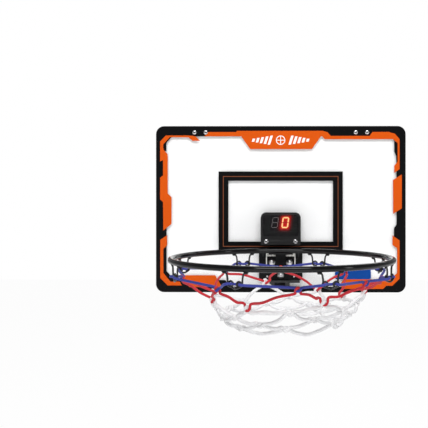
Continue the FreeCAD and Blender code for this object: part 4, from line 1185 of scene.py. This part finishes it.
class HOOP_OT_net(bpy.types.Operator):
    """Blue, red and white cords, each row looped through the one above"""

    bl_idname = "hoop.net"
    bl_label = "Tie the net"

    def execute(self, context):
        looks = context.scene.hoop_net
        random.seed(7)
        hooks = [45.0 * k + 22.5 for k in range(HOOK_COUNT)]
        blue_low = [(8, 101, -19.5), (48, 107, -17), (90, 103, -20), (136, 101, -19)]
        blue_low += [(180, 100, -18.8), (218, 101, -19.4), (271, 103, -19), (319, 95, -22.5)]
        red_low = [(27, 87, -35), (65, 90, -28), (117, 72, -42), (150, 80, -39)]
        red_low += [(194, 71, -31), (246, 78, -38), (296, 77, -38.5), (337, 85, -40.5)]
        first_low = [(50, 78, -46), (90, 78, -45), (133, 66, -49), (172, 64, -47)]
        first_low += [(220, 65, -50), (268, 67, -51), (318, 69, -53), (366, 71, -46)]
        second_low = [(70, 72, -53), (110, 63, -54), (152, 60, -54), (196, 60, -54)]
        second_low += [(245, 61, -55), (293, 65, -57), (342, 69, -58), (386, 71, -53)]
        third_low = [(90, 64, -60), (130, 55, -60), (175, 55, -60), (220, 57, -60)]
        third_low += [(266, 59, -60), (318, 61, -64), (363, 65, -62), (408, 67, -60)]
        fourth_low = [(110, 53, -65), (152, 50, -64), (196, 50, -64), (245, 52, -64)]
        fourth_low += [(290, 54, -65.5), (338, 57, -68.5), (384, 60, -69), (428, 59, -67)]
        blue = braided_cord("blue_cord", looks.blue)
        red = braided_cord("red_cord", looks.red)
        white = braided_cord("white_cord", looks.white)
        top = self.threaded(hooks, blue_low)
        self.cord("net_blue_finish", [top], looks.cord_radius, blue, "net_blue_cord")
        row = self.row(blue_low, red_low, REACHING, CURLED, 0.4, 0.8)
        self.cord("net_red_finish", [row], looks.cord_radius, red, "net_red_cord")
        rows = [
            self.row(red_low, first_low, REACHING, HANGING, 0.8, 2.0),
            self.row(first_low, second_low, GATHERED, HANGING, 1.4, 2.5),
            self.row(second_low, third_low, GATHERED, HANGING, 1.6, 1.8),
            self.row(third_low, fourth_low, GATHERED, LOOSE, 1.8, 1.2),
        ]
        self.cord("net_white_finish", rows, looks.soft_radius, white, "net_white_cord")
        return {"FINISHED"}

    def cord(self, name, runs, radius, material, node):
        piece = swept(name, runs, radius, material, closed=True)
        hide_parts(node)
        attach(piece, "rim")

    def knot(self, spot, shape):
        """The points of a cord near a spot: along the row, outwards and up from it, in mm."""
        azimuth, radius, height = spot
        return [
            around(azimuth + math.degrees(along / radius), radius + outward, height + up)
            for along, outward, up in shape
        ]

    def threaded(self, hooks, lows):
        """The top row: through both curls of each hook, then down to its own knot."""
        points = []
        for k, azimuth in enumerate(hooks):
            points += self.knot((azimuth, RIM_R / MM, 0), THROUGH_HOOK)
            points += self.knot(lows[(k + 1) % len(lows)], HANGING)
        return points

    def row(self, tops, lows, upper, lower, stray, sag):
        """One row: up through a knot of the row above, then down to its own knot."""
        points = []
        for k, (top, low) in enumerate(zip(tops, lows)):
            behind = math.cos(math.radians(top[0])) < OUTSIDE_FACING
            points += self.knot(top, OUTSIDE if upper is REACHING and behind else upper)
            points += self.slack(top, low, stray, sag)
            beside = math.cos(math.radians(low[0])) < CURL_FACING
            points += self.knot(low, HANGING if lower is CURLED and beside else lower)
            points += self.slack(low, tops[(k + 1) % len(tops)], stray, sag)
        return points

    def slack(self, start, end, stray, sag):
        """Loose points between two knots, so that the cord sags and wanders as it hangs."""
        gap = (end[0] - start[0] + 180) % 360 - 180
        outward = random.uniform(-stray, stray)
        depth = sag * random.uniform(0.5, 1.0)
        points = []
        for share in (0.36, 0.64):
            radius, height = (start[k] + (end[k] - start[k]) * share for k in (1, 2))
            points += self.knot((start[0] + gap * share, radius, height), [(0, outward, -depth)])
        return points


# ---- score display ----
DIGIT_LEAN = 0.14
DIGITS_UP = 84.5
DIGITS_LEFT = 0.6
STROKE_INSET = 0.9 * MM


def lit_middle():
    """The middle of the lit digit on the display's face."""
    looks = bpy.context.scene.hoop_display
    return place(looks.pitch / 2 / MM - DIGITS_LEFT, DIGITS_UP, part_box("digit_display")[0].y)


def digit_half(looks):
    """Half the width and height between the middles of a digit's strokes."""
    return looks.digit_width / 2 - STROKE_INSET, looks.digit_height / 2 - STROKE_INSET


class HOOP_OT_display(bpy.types.Operator):
    """Display housing, smoked lens, digits and what is behind them"""

    bl_idname = "hoop.display"
    bl_label = "Finish the score display"

    def execute(self, context):
        looks = context.scene.hoop_display
        # The housing, lens and digit face carry a painted glow from the lit digit.
        housing = glowing("score_case", (0.0175, 0.0175, 0.018), 0.2, 0.25, 2.6 * MM)
        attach(softened("score_housing", housing, 0.35), "frame")
        give(glowing("smoked_lens", (0.018, 0.017, 0.019), 0.16, 0.25, 3.4 * MM, 0.42), "score_lens")
        give(glowing("digit_face", (0.016, 0.014, 0.016), 0.5, 1.3, 2.3 * MM), "digit_display")
        give(coated("circuit_lacquer"), "score_circuit", "sensor_circuit")
        middle = lit_middle()
        left = middle - Vector((looks.pitch, 0, 0))
        self.digit("digit_unlit", left, "abcdefg", 0.75, coated("segment_off", looks.unlit), looks)
        self.digit("digit_lit", middle, "abcdef", 1.5, self.lit_material(looks), looks)
        # The middle stroke is off; its dark red tint is painted light spilling from the lit strokes beside
        # it.
        self.digit("digit_bar", middle, "g", 0.8, coated("segment_dim"), looks)
        return {"FINISHED"}

    def lit_material(self, looks):
        material, tree, shader, coordinates = base_material(
            "segment_lit", Emission_Strength=2.9, Roughness=0.4
        )
        level = maths(tree, "MULTIPLY_ADD", noise(tree, coordinates, 700.0), 0.35, 0.85)
        tone = scaled(tree, (*looks.lit,), level)
        feed(tree, shader, {"Emission Color": tone, "Base Color": tone})
        return material

    def digit(self, name, middle, lit, stroke, material, looks):
        """Seven-segment strokes: bars with pointed ends, leaning to the right."""
        half_w, half_h = digit_half(looks)
        ends = {
            "a": ((-half_w, half_h), (half_w, half_h)),
            "b": ((half_w, half_h), (half_w, 0)),
            "c": ((half_w, 0), (half_w, -half_h)),
            "d": ((-half_w, -half_h), (half_w, -half_h)),
            "e": ((-half_w, 0), (-half_w, -half_h)),
            "f": ((-half_w, half_h), (-half_w, 0)),
            "g": ((-half_w, 0), (half_w, 0)),
        }
        work = bmesh.new()
        for letter in lit:
            first_end, last_end = (Vector(end) for end in ends[letter])
            along = (last_end - first_end).normalized()
            side = Vector((-along.y, along.x)) * stroke * MM / 2
            start = first_end + along * 0.15 * MM
            end = last_end - along * 0.15 * MM
            tip = along * stroke * MM / 2
            outline = [start, start + tip + side, end - tip + side, end, end - tip - side, start + tip - side]
            layers = []
            for y in (middle.y - 0.08 * MM, middle.y + 0.02 * MM):
                spots = [(middle.x + p.x + DIGIT_LEAN * p.y, y, middle.z + p.y) for p in outline]
                layers.append([work.verts.new(spot) for spot in spots])
                work.faces.new(layers[-1])
            for k in range(len(outline)):
                m = (k + 1) % len(outline)
                work.faces.new((layers[0][k], layers[0][m], layers[1][m], layers[1][k]))
        bmesh.ops.recalc_face_normals(work, faces=work.faces)
        piece = new_piece(name, mesh_of(work, name), material)
        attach(piece, "frame")


# ---- battery box and sensor ----
class HOOP_OT_power(bpy.types.Operator):
    """Battery box, sliding door, cells, contacts and switch"""

    bl_idname = "hoop.power"
    bl_label = "Finish the battery box"

    def execute(self, context):
        case = coated("case_plastic")
        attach(softened("battery_box", case, 0.3), "frame")
        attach(softened("battery_door", case, 0.2), "battery_door")
        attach(softened("power_switch", coated("knob_plastic"), 0.25), "power_switch")
        give(case, "switch_body")
        give(coated("cell_sleeve"), "cells")
        give(metal("contact_plate"), "cell_contacts")
        return {"FINISHED"}


class HOOP_OT_sensor(bpy.types.Operator):
    """Ball sensor, its window and eyes, and the cables"""

    bl_idname = "hoop.sensor"
    bl_label = "Finish the ball sensor"

    def execute(self, context):
        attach(softened("sensor_housing", coated("sensor_plastic"), 0.3), "frame")
        give(coated("sensor_glass"), "sensor_window", "sensor_eyes")
        give(coated("cable_sleeve"), "sensor_cable", "link_lead")
        return {"FINISHED"}


class HOOP_PT_panel(bpy.types.Panel):
    """Lists the steps that finish the hoop"""

    bl_label = "Door hoop"
    bl_idname = "HOOP_PT_panel"
    bl_space_type = "VIEW_3D"
    bl_region_type = "UI"
    bl_category = "Hoop"

    def draw(self, context):
        for step in STEPS:
            self.layout.operator(step.bl_idname)


STEPS = (
    HOOP_OT_stage,
    HOOP_OT_board,
    HOOP_OT_print,
    HOOP_OT_fasteners,
    HOOP_OT_bracket,
    HOOP_OT_rim,
    HOOP_OT_net,
    HOOP_OT_display,
    HOOP_OT_power,
    HOOP_OT_sensor,
)
SETTINGS = {
    "hoop_print": HoopPrintProperties,
    "hoop_net": HoopNetProperties,
    "hoop_metal": HoopMetalProperties,
    "hoop_display": HoopDisplayProperties,
    "hoop_stage": HoopStageProperties,
}


def register():
    for group in SETTINGS.values():
        bpy.utils.register_class(group)
    for name, group in SETTINGS.items():
        setattr(bpy.types.Scene, name, bpy.props.PointerProperty(type=group))
    for entry in (*STEPS, HOOP_PT_panel):
        bpy.utils.register_class(entry)


def unregister():
    for entry in (HOOP_PT_panel, *STEPS):
        bpy.utils.unregister_class(entry)
    for name in SETTINGS:
        delattr(bpy.types.Scene, name)
    for group in SETTINGS.values():
        bpy.utils.unregister_class(group)


def main():
    register()
    for step in STEPS:
        group, name = step.bl_idname.split(".")
        getattr(getattr(bpy.ops, group), name)()


if __name__ == "__main__":
    main()
